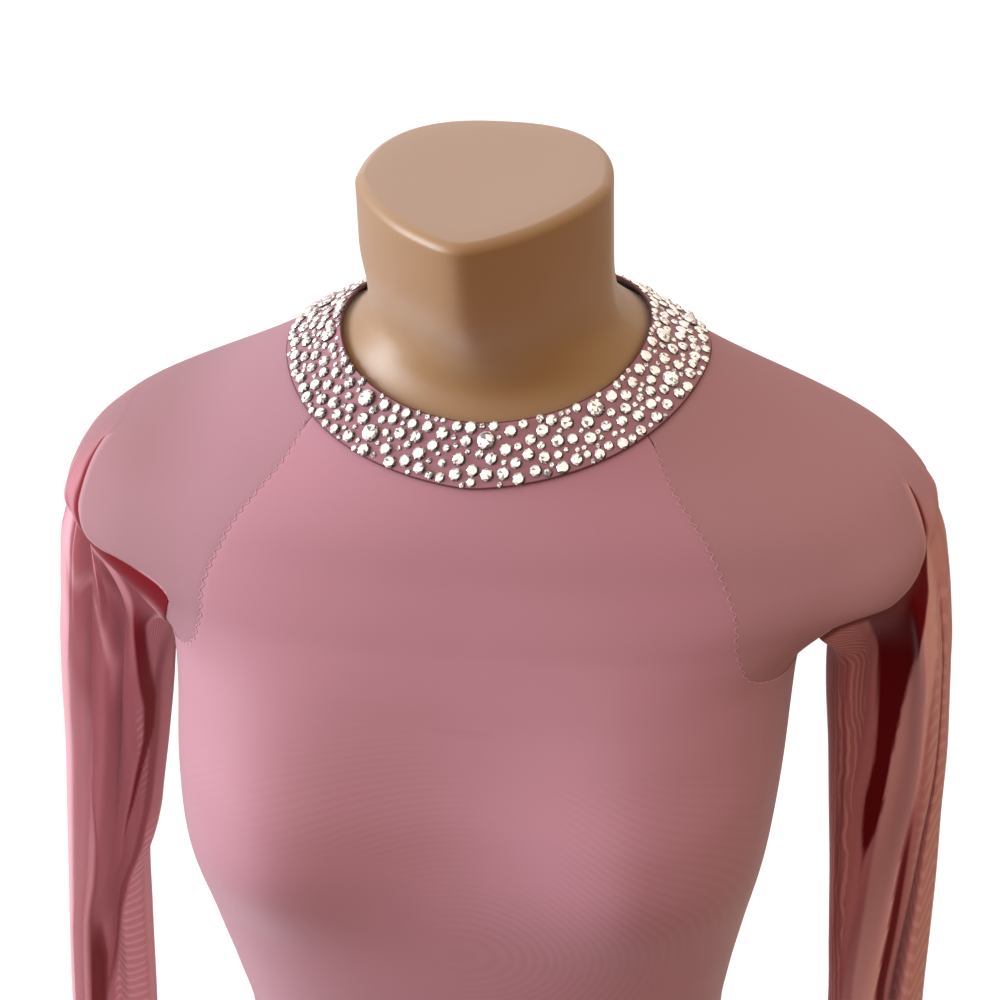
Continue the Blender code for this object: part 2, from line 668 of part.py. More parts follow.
def skirt_rows(behind):
    """Rows of one half of the skirt, between the side seams."""
    spread = np.linspace(-1, 1, SKIRT_COLUMNS + 1)
    turns = math.pi / 2 * spread + (math.pi if behind else 0)
    ahead = np.cos(turns)
    flare = FLARE_SIDE + ((FLARE_BACK if behind else FLARE_FRONT) - FLARE_SIDE) * ahead**2
    top = SEAM - SEAM_GAP / 2
    start = on_figure(turns, top, SKIRT_OUT)
    waist = np.linalg.norm(start[:, :2], axis=1)
    over = np.linalg.norm(on_section(turns, np.full(len(turns), 0.235))[:, :2], axis=1) - waist
    around = start[:, :2] / waist[:, None]
    rows = [start]
    for row in range(1, SKIRT_ROWS):
        drop = row / (SKIRT_ROWS - 1)
        height = top + (HEM - top) * drop
        ease = 1 - (1 - min(1.0, drop / 0.32)) ** 2
        beside_sleeve = 1 - 0.75 * np.abs(np.sin(turns)) ** 10 * (height > CUFF - 0.02)
        flute = FLUTE_DEPTH * drop**1.2 * np.cos(FLUTES * turns) * beside_sleeve
        reach = waist + (over + 0.006) * ease + flare * drop**1.15 + flute
        rows.append(np.column_stack([around * reach[:, None], np.full(len(turns), height)]))
    rows = np.array(rows)
    side_seam = 0.5 * SEAM_GAP * (-1 if behind else 1)
    rows[:, [0, -1], 1] -= side_seam
    return rows


def leg_turn(height, fullness):
    """Half the width of the briefs at a height, as a turn from the centre line."""
    part = np.clip((height - GUSSET_SEAM) / (LEG_SIDE - GUSSET_SEAM), 0, 1)
    return GUSSET_TURN + (math.pi / 2 - GUSSET_TURN) * part**fullness


def brief_rows(behind):
    top = SEAM - SEAM_GAP
    lower = np.linspace(LEG_SIDE, GUSSET_SEAM, BRIEF_ROWS - 4)
    heights = np.concatenate([[top, 0.270, 0.249, 0.227], lower])
    spread = np.linspace(-1, 1, BRIEF_COLUMNS + 1)
    rows = []
    for height in heights:
        edge = beside(leg_turn(height, 0.75 if behind else 1.25), height, -SEAM_GAP / 2)
        turn = edge * spread
        level = np.full(len(spread), height)
        if height == GUSSET_SEAM:
            level = level + SEAM_GAP / 2
        rows.append(on_figure(math.pi - turn if behind else turn, level))
    return rows


def gusset_rows():
    """The strip that passes between the thighs, from the front piece to the back piece."""
    across = np.linspace(-1, 1, 7)
    rows = []
    vault = THIGH_GAP - 0.0024
    middle = CROTCH - THIGH_GAP
    front = on_figure(GUSSET_TURN * across, GUSSET_SEAM - 2 * SEAM_GAP)
    back = on_figure(math.pi - GUSSET_TURN * across, GUSSET_SEAM - 2 * SEAM_GAP)
    front_y, back_y = front[:, 1].min(), back[:, 1].max()
    arch = np.column_stack([
        vault * np.sin(GUSSET_HALF_ANGLE * across), middle + vault * np.cos(GUSSET_HALF_ANGLE * across)
    ])
    rows.append(front)
    for end, y, way in (("front", front_y, 1), ("back", back_y, -1)):
        turned = []
        for part, inward, drop in ((0.25, -0.0010, 0.012), (0.7, -0.0006, 0.024), (0.97, 0.0040, 0.0295)):
            width = front[:, 0] * (1 - part) + arch[:, 0] * part
            level = (GUSSET_SEAM - drop) + (arch[:, 1] - arch[:, 1].max()) * part
            turned.append(np.column_stack([width, np.full(7, y + way * inward), level]))
        turned.append(np.column_stack([arch[:, 0], np.full(7, y + way * 0.013), arch[:, 1] - 0.0006]))
        turned.append(np.column_stack([arch[:, 0], np.full(7, y + way * 0.040), arch[:, 1]]))
        rows.extend(turned if end == "front" else turned[::-1])
    rows.append(back)
    return rows


def add_skirt_and_briefs(parts):
    add_cloth("skirt_front", skirt_rows(False), False, WALL, "skirt_mesh", parts)
    add_cloth("skirt_back", skirt_rows(True), False, WALL, "skirt_mesh", parts)
    add_cloth("brief_front", brief_rows(False), False, WALL, "brief_cloth", parts)
    add_cloth("brief_back", brief_rows(True), False, WALL, "brief_cloth", parts)
    rows = gusset_rows()
    gusset = add_cloth("gusset", rows, False, WALL, "brief_cloth", parts, flip=False)
    middle = gusset.data.polygons[len(gusset.data.polygons) // 2]
    if middle.normal.z > 0:
        gusset.data.flip_normals()


def main():
    for item in list(bpy.data.objects):
        bpy.data.objects.remove(item, do_unlink=True)
    parts = new_collection(PART)
    cutters = new_collection("cutters", shown=False)
    add_form(parts, cutters)
    add_bodice(parts)
    add_sleeve("sleeve_right", -1, parts)
    add_sleeve("sleeve_left", 1, parts)
    add_neckband(parts, cutters)
    add_buttons(parts)
    add_skirt_and_briefs(parts)


main()
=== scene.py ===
import math

import bmesh
import bpy
import numpy as np
from mathutils import Matrix, Vector


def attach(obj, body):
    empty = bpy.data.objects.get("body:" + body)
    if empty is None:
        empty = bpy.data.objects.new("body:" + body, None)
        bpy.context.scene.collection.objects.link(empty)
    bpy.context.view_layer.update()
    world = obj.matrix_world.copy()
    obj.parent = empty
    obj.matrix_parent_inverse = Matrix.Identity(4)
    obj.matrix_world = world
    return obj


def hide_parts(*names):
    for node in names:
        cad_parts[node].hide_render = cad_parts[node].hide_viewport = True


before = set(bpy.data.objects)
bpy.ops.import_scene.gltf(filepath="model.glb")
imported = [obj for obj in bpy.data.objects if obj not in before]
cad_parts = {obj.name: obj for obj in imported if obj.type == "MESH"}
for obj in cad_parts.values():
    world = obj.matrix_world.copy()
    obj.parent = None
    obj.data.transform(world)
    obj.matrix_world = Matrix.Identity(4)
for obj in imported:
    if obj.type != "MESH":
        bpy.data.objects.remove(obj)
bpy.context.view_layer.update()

# Heights above the flat ends of the form's thighs, in metres
FORM_TOP = 0.873
CROTCH = 0.110
SEAM = 0.290
CUFF = 0.150
HEM = 0.035

# The camera, at the photograph's viewing angle
VIEW_TURN = math.radians(8.5)
VIEW_TILT = math.radians(29.4)
VIEW_ROLL = math.radians(-0.6)
VIEW_DISTANCE = 1.5
VIEW_TARGET = Vector((0.0004, 0.0, 0.6966))
LENS = 113.4

# Cloth
STRETCH_WALL = 0.0007  # lined stretch cloth
MESH_WALL = 0.0005  # sheer mesh
UNDER_CLOTH = 0.0011  # how far the form lies inside the figure that the cloth follows
BAND_INNER, BAND_OUTER = 0.0010, 0.0024
UNDER_BAND = 0.004  # how far the panels run up under the band
UNDER_BAND_ROWS = 4
PIPING_RADIUS = 0.00058
SEAM_DIP, SEAM_WIDE = 0.0002, 0.0016
SEAM_HALF = -0.00008  # the sewn edges just overlap
UNDERARM = 0.654  # where the side seams start

# The figure by level sections: height, half width, front, back, squareness in front and behind, and centre.
# Lengths are in millimetres, from the section's own centre, and squareness is a superellipse's exponent.
FIGURE = np.array([
    (0, 150, 84, 90, 2.3, 2.3, -6), (60, 154, 88, 93, 2.3, 2.3, -6), (125, 160, 92, 99, 2.3, 2.3, -6),
    (175, 166, 96, 107, 2.3, 2.3, -7), (225, 169, 102, 113, 2.3, 2.3, -9), (270, 164, 102, 112, 2.25, 2.3, -14),
    (315, 149, 96, 104, 2.25, 2.3, -26), (365, 127, 84, 94, 2.35, 2.3, -42), (410, 114, 78, 90, 2.45, 2.3, -50),
    (455, 116, 81, 98, 2.6, 2.3, -53), (490, 121, 87, 108, 2.9, 2.35, -55), (525, 128, 94, 118, 3.05, 2.4, -56),
    (565, 137, 99, 126, 2.95, 2.5, -56), (605, 142, 98, 127, 2.7, 2.55, -52), (632, 144, 103, 121, 2.75, 2.6, -38),
    (648, 145.5, 107.5, 117, 2.9, 2.6, -28), (657, 147.5, 112.5, 113, 2.95, 2.6, -20),
    (664, 150, 115.5, 110, 2.95, 2.6, -15), (672, 160, 119.5, 105, 2.85, 2.6, -8),
    (680, 175, 122.5, 100, 2.7, 2.6, -2), (688, 189.5, 122.5, 96.5, 2.6, 2.6, 1),
    (697, 201.5, 120.5, 95, 2.55, 2.6, 2), (706, 205, 118, 94, 2.5, 2.55, 3), (716, 200, 115, 92.5, 2.45, 2.5, 4),
    (730, 187.5, 110.5, 91, 2.35, 2.4, 4), (743, 164, 104, 89, 2.2, 2.25, 4), (756, 137, 95, 86, 2, 2.05, 4),
    (769, 112, 85, 81, 1.9, 1.9, 5), (781, 90, 73, 77, 1.8, 1.9, 4), (793, 70, 65, 70, 1.8, 2, -2),
    (806, 58.5, 61, 68, 1.6, 2.2, -12), (826, 56, 68, 64, 1.45, 2.35, -17), (873, 56, 77, 64, 1.4, 2.5, -23),
]) * (0.001, 0.001, 0.001, 0.001, 1, 1, 0.001)
CHEST = {"side": 0.092, "height": 0.594, "reach": 0.022, "wide": 0.050, "above": 0.064, "below": 0.044}

# Edges of the neckband: height in front, at the side and behind, and how late it climbs
NECK_EDGE = {"front": 0.776, "side": 0.793, "back": 0.788, "power": 2.0}
BAND_EDGE = {"front": 0.754, "side": 0.777, "back": 0.762, "power": 1.35}
BAND_OPENS = math.radians(0.6)

# The raglan seam from the neckband to the underarm: turn in degrees, height in millimetres, and the
# heights at the centre in front and behind of the panel's rows that end there
RAGLAN = np.array([
    (43.5, 769, 754, 762), (38, 756, 743, 749), (34, 744, 732, 735), (31.5, 731, 720, 722),
    (30.5, 717.5, 708, 709), (30.8, 704, 696, 697), (33, 691, 685.5, 686), (38, 681, 677, 677.5),
    (45, 672.5, 669, 670), (55, 666, 662.5, 664), (69, 660.5, 658, 659), (90, 656, 654, 655),
]) * (math.pi / 180, 0.001, 0.001, 0.001)
KEYHOLE_TOP = 0.760
KEYHOLE_END = 0.665
KEYHOLE_HALF = 0.011
# From the figure's middle line to the cloth, where a turn is made a length
SEAM_REACH, PANEL_REACH, KEYHOLE_REACH = 0.13, 0.12, 0.105

# The loops where the sleeves leave the shoulders, from their outer edges through the front to the
# underarm: turn in degrees, then height and lift off the shoulder in millimetres. The near sleeve is the
# wearer's right one, on the window's side, and the far sleeve the left one.
NEAR_LEAVE = np.array([
    (90, 735, 0), (87, 735.5, 0), (84, 735, 0), (80.5, 732, 0), (76.5, 727, 0), (72.8, 721.5, 0), (69.6, 715.5, 0),
    (66.5, 708, 0), (62.6, 701, 1), (55.5, 700.3, 1), (47.5, 700.8, 0), (40.3, 696.5, 0), (40.8, 689.5, 0),
    (50.5, 682, 0), (68.5, 676, 0), (90, 672, 0),
]) * (math.pi / 180, 0.001, 0.001)
FAR_LEAVE = np.array([
    (90, 734.5, 0), (88, 733.5, 0), (85.6, 728.5, 0), (83, 722.5, 0), (80.3, 715, 0), (78, 707, 1), (76, 700, 3),
    (73, 696.8, 5), (69, 695.2, 6), (65, 693, 6), (61.8, 690, 3), (59.5, 685.5, 0), (60, 680, 0), (66, 677, 0),
    (77, 674.5, 0), (90, 672, 0),
]) * (math.pi / 180, 0.001, 0.001)
NECK_POINTS = 4  # sleeve columns along the band, from the shoulder's top to a seam
HALF_LOOP = len(NEAR_LEAVE) - 1

# Level sections of a hanging sleeve in millimetres: height, outer and inner edge, front, back, and how
# far it leans to the wearer's right
SLEEVE = np.array([
    (650, 218, 160, -56, 64, 0), (620, 220, 161.5, -52, 63, 1), (580, 221.5, 165.5, -49, 61, 1),
    (530, 222.5, 171, -46, 59, 3), (475, 224, 176.5, -44, 57, 6), (425, 225, 178.5, -42, 56, 8),
    (375, 226, 179, -40, 55, 9), (325, 229, 184, -38, 53, 6), (270, 235, 193, -36, 51, 3),
    (210, 241, 201, -34, 49, 1), (150, 246, 208, -32, 47, 0),
]) * 0.001
# How much slimmer the cloth hangs than that, in millimetres: height, then the outer and inner edges of
# the near sleeve and of the far one
SLIMMER = np.array([
    (150, 0, 0, 0, 0), (250, 1, 1, 0, 0), (350, 6, 7.4, 1, -1), (414, 6.8, 8, 1.4, -2.2), (450, 7.4, 9, 0.8, -3.8),
    (485, 6.4, 2.6, 0.6, -4.6), (540, 5.2, 3, 1.6, -4.4), (590, 5.4, 4.4, 1.8, -3.4), (650, 5.4, 0, 1, 0),
]) * 0.001
# How far the cloth bows out where it starts to hang: height, near and far sleeve, in millimetres
BOW = np.array([
    (625, 0, 0), (643, 0.4, 0.2), (668, 3.7, 1.9), (681, 5.8, 2.9), (692, 5.4, 2.4), (698, 4.6, 1.7),
    (703, 1.2, 1), (707, 0, 0.2), (714, 0, 0),
]) * 0.001
SLEEVE_MIDDLE = 0.008
SLEEVE_COLUMNS = 216
HANGS_FREE = 0.630  # below this height the sections alone shape the cloth
OVER_BODICE = STRETCH_WALL + MESH_WALL + 0.0006
FOLDS_TOP = 0.620
FOLDS_LOW = 0.380
# Folds of the front and back: percent across and percent ahead, at the upper level and at the lower
NEAR_FOLDS = np.array([
    (0, 0, 0, 0), (4, 50, 5, 50), (14, 85, 14, 82), (28, 100, 26, 96), (34, 60, 31, 70), (42, 74, 35, 84),
    (50, 78, 40, 92), (58, 72, 45, 86), (66, 48, 47, 42), (73, 70, 53, 12), (80, 76, 61, 5), (86, 72, 70, 12),
    (91, 62, 79, 18), (95, 46, 88, 14), (98.5, 24, 96, 4), (100, 0, 100, -8),
]) * 0.01
FAR_FOLDS = np.array([
    (0, 0, 0, 0), (1, 20, 7, 48), (2.5, 36, 17, 74), (4.5, 48, 28, 80), (6.5, 45, 37, 38), (10, 82, 46, 80),
    (16, 96, 58, 95), (22, 86, 72, 95), (28, 42, 83, 80), (42, 34, 88, 44), (60, 36, 91, 35), (75, 52, 94, 28),
    (85, 56, 96, 21), (93, 42, 98, 14), (98, 22, 99, 7), (100, 0, 100, 0),
]) * 0.01
BACK_FOLDS = np.array([
    (0, 0, 0, 0), (3, 42, 4, 45), (10, 72, 11, 75), (19, 92, 20, 92), (29, 100, 31, 98), (39, 96, 42, 94),
    (49, 70, 50, 62), (57, 90, 57, 88), (65, 94, 65, 95), (73, 90, 73, 93), (80, 84, 80, 87), (86, 75, 86, 79),
    (91, 63, 91, 67), (95, 46, 95, 50), (98.5, 24, 98.5, 27), (100, 0, 100, 0),
]) * 0.01

# The skirt's flutes, and how far it flares by its hem at the sides, in front and behind
FLUTES = 13
FLUTE_DEPTH = 0.015
RIPPLE_DEPTH = 0.0015
SKIRT_OUT = 0.0018
HIP = 0.235
FLARE_SIDE, FLARE_FRONT, FLARE_BACK = 0.046, 0.058, 0.070

# The briefs below the seam
LEG_SIDE = 0.205
GUSSET_SEAM = 0.138
GUSSET_TURN = math.radians(11.0)
GUSSET_HALF_ANGLE = math.radians(42.0)
SEWN_OVER = 0.0003  # how far a cut runs past its seam
THIGH_GAP = 0.022
GAP_MIDDLE = CROTCH - THIGH_GAP

# The raglan seams' stitches: step along the seam, reach to each side of it, and the thread
STITCH_STEP = 0.0024
STITCH_SIDE = 0.0010
THREAD_RADIUS = 0.00013

# Stones of the band: the large ones by turn in degrees and share across, then those thrown between them
LARGE_STONES = np.array([
    (-150, 0.66), (-128, 0.3), (-103, 0.55), (-70.5, 0.24), (-33, 0.22), (-24.5, 0.64), (4, 0.27), (35, 0.22),
    (62.5, 0.66), (84, 0.25), (109, 0.7), (131, 0.32), (152, 0.66),
])
LARGE_RADIUS, LARGE_REACH = 0.0043, 0.0026
BIG_COUNT, BIG_RADIUS, BIG_REACH = 26, 0.0031, 0.0020
STONE_SIZES = (  # kind, radius, reach, how many are tried, and how far they keep from the band's edges
    ("middle", 0.0030, 0.0020, 1900, 0.8),
    ("small", 0.0022, 0.0016, 4200, 0.5),
    ("tiny", 0.0015, 0.0011, 9000, 0.5),
)
DARK_STONES = {"small": 0.22, "tiny": 0.5}  # share of them that are dark
# Share of the facets that get a painted dark reflection, by kind, and on dark stones
DARK_FACETS = {"dark": 0.50, "large": 0.24, "big": 0.18, "middle": 0.10, "small": 0.10, "tiny": 0.10}
BIG_SPACE, STONE_SPACE = 0.0004, 0.00015
STONE_SUNK = 0.0003
STONE_SEED = 27
BAND_WIDTH = 0.034
WINDOW = np.array([-0.72, -0.35, 0.60])  # the way to the window
TAB = math.radians(9.0)  # the button tab behind has no big stones
BUTTON_TURN = math.radians(175.2)
BUTTON_RADIUS, BUTTON_EDGE = 0.0042, 0.0022


# Curves through tables

BELL_REACH = 14


def hermite(t, start, end, leaving, arriving):
    """A curve from start to end, with the slopes that it leaves and arrives with."""
    return (
        (2 * t**3 - 3 * t**2 + 1) * start
        + (t**3 - 2 * t**2 + t) * leaving
        + (3 * t**2 - 2 * t**3) * end
        + (t**3 - t**2) * arriving
    )


def smooth_column(table, column, at):
    """One column of a table at any height or index, without overshoot between its rows."""
    keys, values = table[:, 0], table[:, column]
    steps = np.diff(keys)
    slopes = np.diff(values) / steps
    tangents = np.zeros_like(values)
    tangents[0], tangents[-1] = slopes[0], slopes[-1]
    before, after = slopes[:-1], slopes[1:]
    near = 2 * steps[1:] + steps[:-1]
    far = steps[1:] + 2 * steps[:-1]
    with np.errstate(divide="ignore", invalid="ignore"):
        mean = (near + far) / (near / before + far / after)
    tangents[1:-1] = np.where(before * after > 0, mean, 0.0)
    at = np.clip(at, keys[0], keys[-1])
    row = np.clip(np.searchsorted(keys, at) - 1, 0, len(keys) - 2)
    step = steps[row]
    t = (at - keys[row]) / step
    return hermite(t, values[row], values[row + 1], step * tangents[row], step * tangents[row + 1])


def through(rows, at, closed=False):
    """A smooth curve through rows of values, at any place between them."""
    rows = np.asarray(rows, float)
    count = len(rows)
    at = np.asarray(at, float)
    if closed:
        first = np.floor(at).astype(int)
        four = [rows[(first + step) % count] for step in (-1, 0, 1, 2)]
    else:
        first = np.clip(np.floor(at).astype(int), 0, count - 2)
        before = 2 * rows[0] - rows[1]
        after = 2 * rows[-1] - rows[-2]
        longer = np.concatenate([before[None], rows, after[None]])
        four = [longer[first + 1 + step] for step in (-1, 0, 1, 2)]
    t = (at - first).reshape(at.shape + (1,) * (rows.ndim - 1))
    a, b, c, d = four
    return b + 0.5 * t * (c - a + t * (2 * a - 5 * b + 4 * c - d + t * (3 * (b - c) + d - a)))


def ease(value, low, high):
    """0 below low, 1 above high, and soft between them."""
    t = np.clip((np.asarray(value, float) - low) / (high - low), 0, 1)
    return t * t * (3 - 2 * t)


def bell(width):
    """Weights of a soft mean over BELL_REACH neighbours on each side."""
    weights = np.exp(-0.5 * (np.arange(-BELL_REACH, BELL_REACH + 1) / width) ** 2)
    return weights / weights.sum()


# The figure


def smoothed_figure():
    """The figure's table at every millimetre, with its corners rounded over a few of them."""
    heights = np.arange(0, FORM_TOP + 0.0005, 0.001)
    columns = [heights]
    for column in range(1, FIGURE.shape[1]):
        values = np.pad(smooth_column(FIGURE, column, heights), BELL_REACH, mode="reflect", reflect_type="odd")
        columns.append(np.convolve(values, bell(3.5), mode="valid"))
    return np.column_stack(columns)


FINE_FIGURE = smoothed_figure()


def figure_at(height, column):
    return np.interp(height, FINE_FIGURE[:, 0], FINE_FIGURE[:, column])


def on_section(turn, height):
    """The bare figure: turn runs from the front over +X to the back."""
    half, front, back, square_front, square_back, centre = (figure_at(height, column) for column in range(1, 7))
    across, ahead = np.sin(turn), np.cos(turn)
    in_front = ahead >= 0
    power = 2 / np.where(in_front, square_front, square_back)
    x = half * np.sign(across) * np.abs(across) ** power
    y = centre - np.where(in_front, front, back) * np.sign(ahead) * np.abs(ahead) ** power
    spread = np.where(height > CHEST["height"], CHEST["above"], CHEST["below"])
    mound = np.exp(-(((np.abs(x) - CHEST["side"]) / CHEST["wide"]) ** 2))
    mound = mound * np.exp(-(((height - CHEST["height"]) / spread) ** 2))
    y = y - CHEST["reach"] * mound * np.clip(3 * ahead, 0, 1)
    return np.stack([x, y, height + 0 * x], axis=-1)


def on_figure(turn, height, out=0.0):
    """Points on the figure, or on a layer that lies out from it."""
    turn, height, out = np.broadcast_arrays(*(np.asarray(value, float) for value in (turn, height, out)))
    step, rise = 0.02, 0.0015
    low = np.clip(height - rise, 0, FORM_TOP)
    high = np.clip(height + rise, 0, FORM_TOP)
    round_it = on_section(turn + step, height) - on_section(turn - step, height)
    up_it = on_section(turn, high) - on_section(turn, low)
    normal = np.cross(round_it, up_it)
    normal /= np.linalg.norm(normal, axis=-1, keepdims=True)
    return on_section(turn, height) + normal * out[..., None]


def edge_height(turn, edge):
    """The height of a neckband edge at a turn."""
    end = np.where(np.cos(turn) >= 0, edge["front"], edge["back"])
    return end + (edge["side"] - end) * np.abs(np.sin(turn)) ** edge["power"]


def beside(turn, height, gap):
    """The turn that lies a gap further round the figure."""
    step = 0.01
    apart = np.linalg.norm(on_section(turn + step, height) - on_section(turn, height), axis=-1)
    return turn + step * gap / apart


CENTRE = 6  # the figure table's column of centres
REACH_HEIGHTS = np.arange(0.10, 0.76, 0.002)
REACH_WAYS = np.linspace(-math.pi, math.pi, 361)


def reach_table():
    """How far the figure reaches round each level section's centre, by height and direction."""
    turns = np.linspace(-math.pi, math.pi, 721)
    rows = []
    for height in REACH_HEIGHTS:
        section = on_section(turns, np.full(len(turns), height))
        centre = figure_at(height, CENTRE)
        around = np.arctan2(section[:, 0], centre - section[:, 1])
        order = np.argsort(around)
        reach = np.hypot(section[:, 0], section[:, 1] - centre)
        rows.append(np.interp(REACH_WAYS, around[order], reach[order]))
    return np.array(rows)


REACHES = reach_table()


def clear_of_figure(points, clear):
    """Moves level with it any point that lies nearer the figure than the clearance."""
    x, y, z = (points[..., axis] for axis in range(3))
    centre = figure_at(z, CENTRE)
    places = []
    for value, keys in ((z, REACH_HEIGHTS), (np.arctan2(x, centre - y), REACH_WAYS)):
        places.append(np.clip((value - keys[0]) / (keys[1] - keys[0]), 0, len(keys) - 1.001))
    r, c = (place.astype(int) for place in places)
    down, on = places[0] - r, places[1] - c
    least = (
        REACHES[r, c] * (1 - down) * (1 - on)
        + REACHES[r + 1, c] * down * (1 - on)
        + REACHES[r, c + 1] * (1 - down) * on
        + REACHES[r + 1, c + 1] * down * on
    ) + clear
    own = np.hypot(x, y - centre)
    grow = np.maximum(1.0, least / np.maximum(own, 1e-6))
    return np.stack([x * grow, centre + (y - centre) * grow, z], axis=-1)


# Meshes


def sheet_mesh(name, rows, closed):
    """A mesh over a grid of points, with a UV map in metres along its columns and rows."""
    rows = np.asarray(rows, float)
    count, width = rows.shape[:2]
    down = np.cumsum(np.linalg.norm(np.diff(rows, axis=0, prepend=rows[:1]), axis=2).mean(axis=1))
    ends = np.concatenate([rows, rows[:, :1]], axis=1) if closed else rows
    along = np.cumsum(np.linalg.norm(np.diff(ends, axis=1, prepend=ends[:, :1]), axis=2), axis=1)
    along = along - along.mean(axis=1, keepdims=True)
    index = np.arange(count * width).reshape(count, width)
    after = np.roll(index, -1, axis=1) if closed else index[:, 1:]
    before = index if closed else index[:, :-1]
    quads = np.stack([before[:-1], after[:-1], after[1:], before[1:]], axis=-1).reshape(-1, 4)
    mesh = bpy.data.meshes.new(name)
    mesh.from_pydata(rows.reshape(-1, 3).tolist(), [], quads.tolist())
    uv = mesh.uv_layers.new(name="cloth")
    columns = width if closed else width - 1
    row_of, column_of = np.divmod(np.arange(len(quads)), columns)
    corners = []
    for drop, step in ((0, 0), (0, 1), (1, 1), (1, 0)):
        corners.append(np.stack([along[row_of + drop, column_of + step], down[row_of + drop]], axis=-1))
    uv.data.foreach_set("uv", np.stack(corners, axis=1).astype(np.float32).ravel())
    mesh.update()
    return mesh


def face_outward(mesh):
    """Turns an open sheet's faces away from the middle line of the dress."""
    away = 0.0
    for face in mesh.polygons:
        away += face.area * (face.normal.x * face.center.x + face.normal.y * face.center.y)
    if away < 0:
        mesh.flip_normals()


def add_piece(name, mesh, finish):
    piece = bpy.data.objects.new(name, mesh)
    bpy.context.scene.collection.objects.link(piece)
    mesh.materials.append(finish)
    mesh.shade_smooth()
    return piece


def choose(piece):
    """Makes a piece the only one that an operator acts on."""
    bpy.ops.object.select_all(action="DESELECT")
    piece.select_set(True)
    bpy.context.view_layer.objects.active = piece


def apply_all(piece):
    """Applies a piece's modifiers, and leaves it chosen."""
    choose(piece)
    for modifier in list(piece.modifiers):
        bpy.ops.object.modifier_apply(modifier=modifier.name)


def smooth_below(angle):
    """Smooth shading for the chosen piece, except over edges sharper than an angle in degrees."""
    bpy.ops.object.shade_smooth_by_angle(angle=math.radians(angle))


def add_cylinder(sides, radius, depth, middle, turned=(0, 0, 0)):
    bpy.ops.object.select_all(action="DESELECT")
    bpy.ops.mesh.primitive_cylinder_add(
        vertices=sides, radius=radius, depth=depth, location=middle, rotation=turned
    )
    bpy.ops.object.transform_apply()
    return bpy.context.object


def edit_chosen(piece, kind, chosen):
    """Opens a piece in edit mode with only some of its vertices or faces selected."""
    bpy.ops.object.mode_set(mode="EDIT")
    bpy.ops.mesh.select_mode(type=kind)
    bpy.ops.mesh.select_all(action="DESELECT")
    bpy.ops.object.mode_set(mode="OBJECT")
    for part in piece.data.vertices if kind == "VERT" else piece.data.polygons:
        part.select = chosen(part)
    bpy.ops.object.mode_set(mode="EDIT")


def on_top(face):
    return face.normal.z > 0.9


def extrude_up(steps, turn=0.0):
    """Extrudes the selected face in steps, each drawn in, turned and raised."""
    for inset, rise in steps:
        bpy.ops.mesh.extrude_region_move()
        bpy.ops.transform.resize(value=(inset, inset, 1), center_override=(0, 0, 0))
        bpy.ops.transform.rotate(value=turn, orient_axis="Z", center_override=(0, 0, 0))
        bpy.ops.transform.translate(value=(0, 0, rise))


def add_cloth(node, rows, closed, wall, finish, shades=None, outward=True):
    """A node's cloth, thickened outwards from a grid of points. Shades are its points' values by name."""
    mesh = sheet_mesh(node + "_cloth", rows, closed)
    for label, values in (shades or {}).items():
        layer = mesh.attributes.new(label, "FLOAT", "POINT")
        layer.data.foreach_set("value", np.asarray(values, np.float32).ravel())
    if outward:
        face_outward(mesh)
    piece = add_piece(node + "_cloth", mesh, finish)
    thick = piece.modifiers.new("wall", "SOLIDIFY")
    thick.thickness = wall
    thick.offset = 1.0
    thick.use_rim = True
    apply_all(piece)
    smooth_below(55)
    return piece


def place_cloth(piece, node, with_pieces=()):
    """Puts a cloth piece in its node's place, under the root, and hides the node's own part."""
    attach(piece, "root")
    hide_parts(node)


def tube_mesh(name, paths, radius, sides, ups=None):
    """One mesh of tubes with closed ends, one along each path of points."""
    angles = np.arange(sides) * 2 * math.pi / sides
    points, faces = [], []
    for number, path in enumerate(paths):
        ahead = np.gradient(path, axis=0)
        ahead /= np.linalg.norm(ahead, axis=1, keepdims=True)
        aside = np.cross(ahead, (0.0, 0.0, 1.0) if ups is None else ups[number])
        aside /= np.linalg.norm(aside, axis=1, keepdims=True)
        raised = np.cross(aside, ahead)
        ring = (
            path[:, None]
            + aside[:, None] * (np.cos(angles) * radius)[None, :, None]
            + raised[:, None] * (np.sin(angles) * radius)[None, :, None]
        )
        start = len(points)
        points.extend(ring.reshape(-1, 3).tolist())
        last = start + (len(path) - 1) * sides
        for row in range(start, last, sides):
            for side in range(sides):
                a, b = row + side, row + (side + 1) % sides
                faces.append((a, b, b + sides, a + sides))
        faces.append(tuple(range(start, start + sides))[::-1])
        faces.append(tuple(range(last, last + sides)))
    mesh = bpy.data.meshes.new(name)
    mesh.from_pydata(points, [], faces)
    face_all_out(mesh)
    return mesh


def face_all_out(mesh, ends=()):
    """Closes the given loops of a mesh, and points all faces of the closed shape outwards."""
    made = bmesh.new()
    made.from_mesh(mesh)
    made.verts.ensure_lookup_table()
    for loop in ends:
        made.faces.new([made.verts[number] for number in loop])
    bmesh.ops.recalc_face_normals(made, faces=made.faces)
    made.to_mesh(mesh)
    made.free()


# Finishes


class Value:
    """A number in a material's node tree, used with the signs of plain arithmetic."""

    def __init__(self, finish, socket):
        self.finish = finish
        self.socket = socket

    def __add__(self, other):
        return self.finish.maths("ADD", self, other)

    def __radd__(self, other):
        return self.finish.maths("ADD", other, self)

    def __sub__(self, other):
        return self.finish.maths("SUBTRACT", self, other)

    def __rsub__(self, other):
        return self.finish.maths("SUBTRACT", other, self)

    def __mul__(self, other):
        return self.finish.maths("MULTIPLY", self, other)

    def __rmul__(self, other):
        return self.finish.maths("MULTIPLY", other, self)

    def __truediv__(self, other):
        return self.finish.maths("DIVIDE", self, other)

    def __rtruediv__(self, other):
        return self.finish.maths("DIVIDE", other, self)


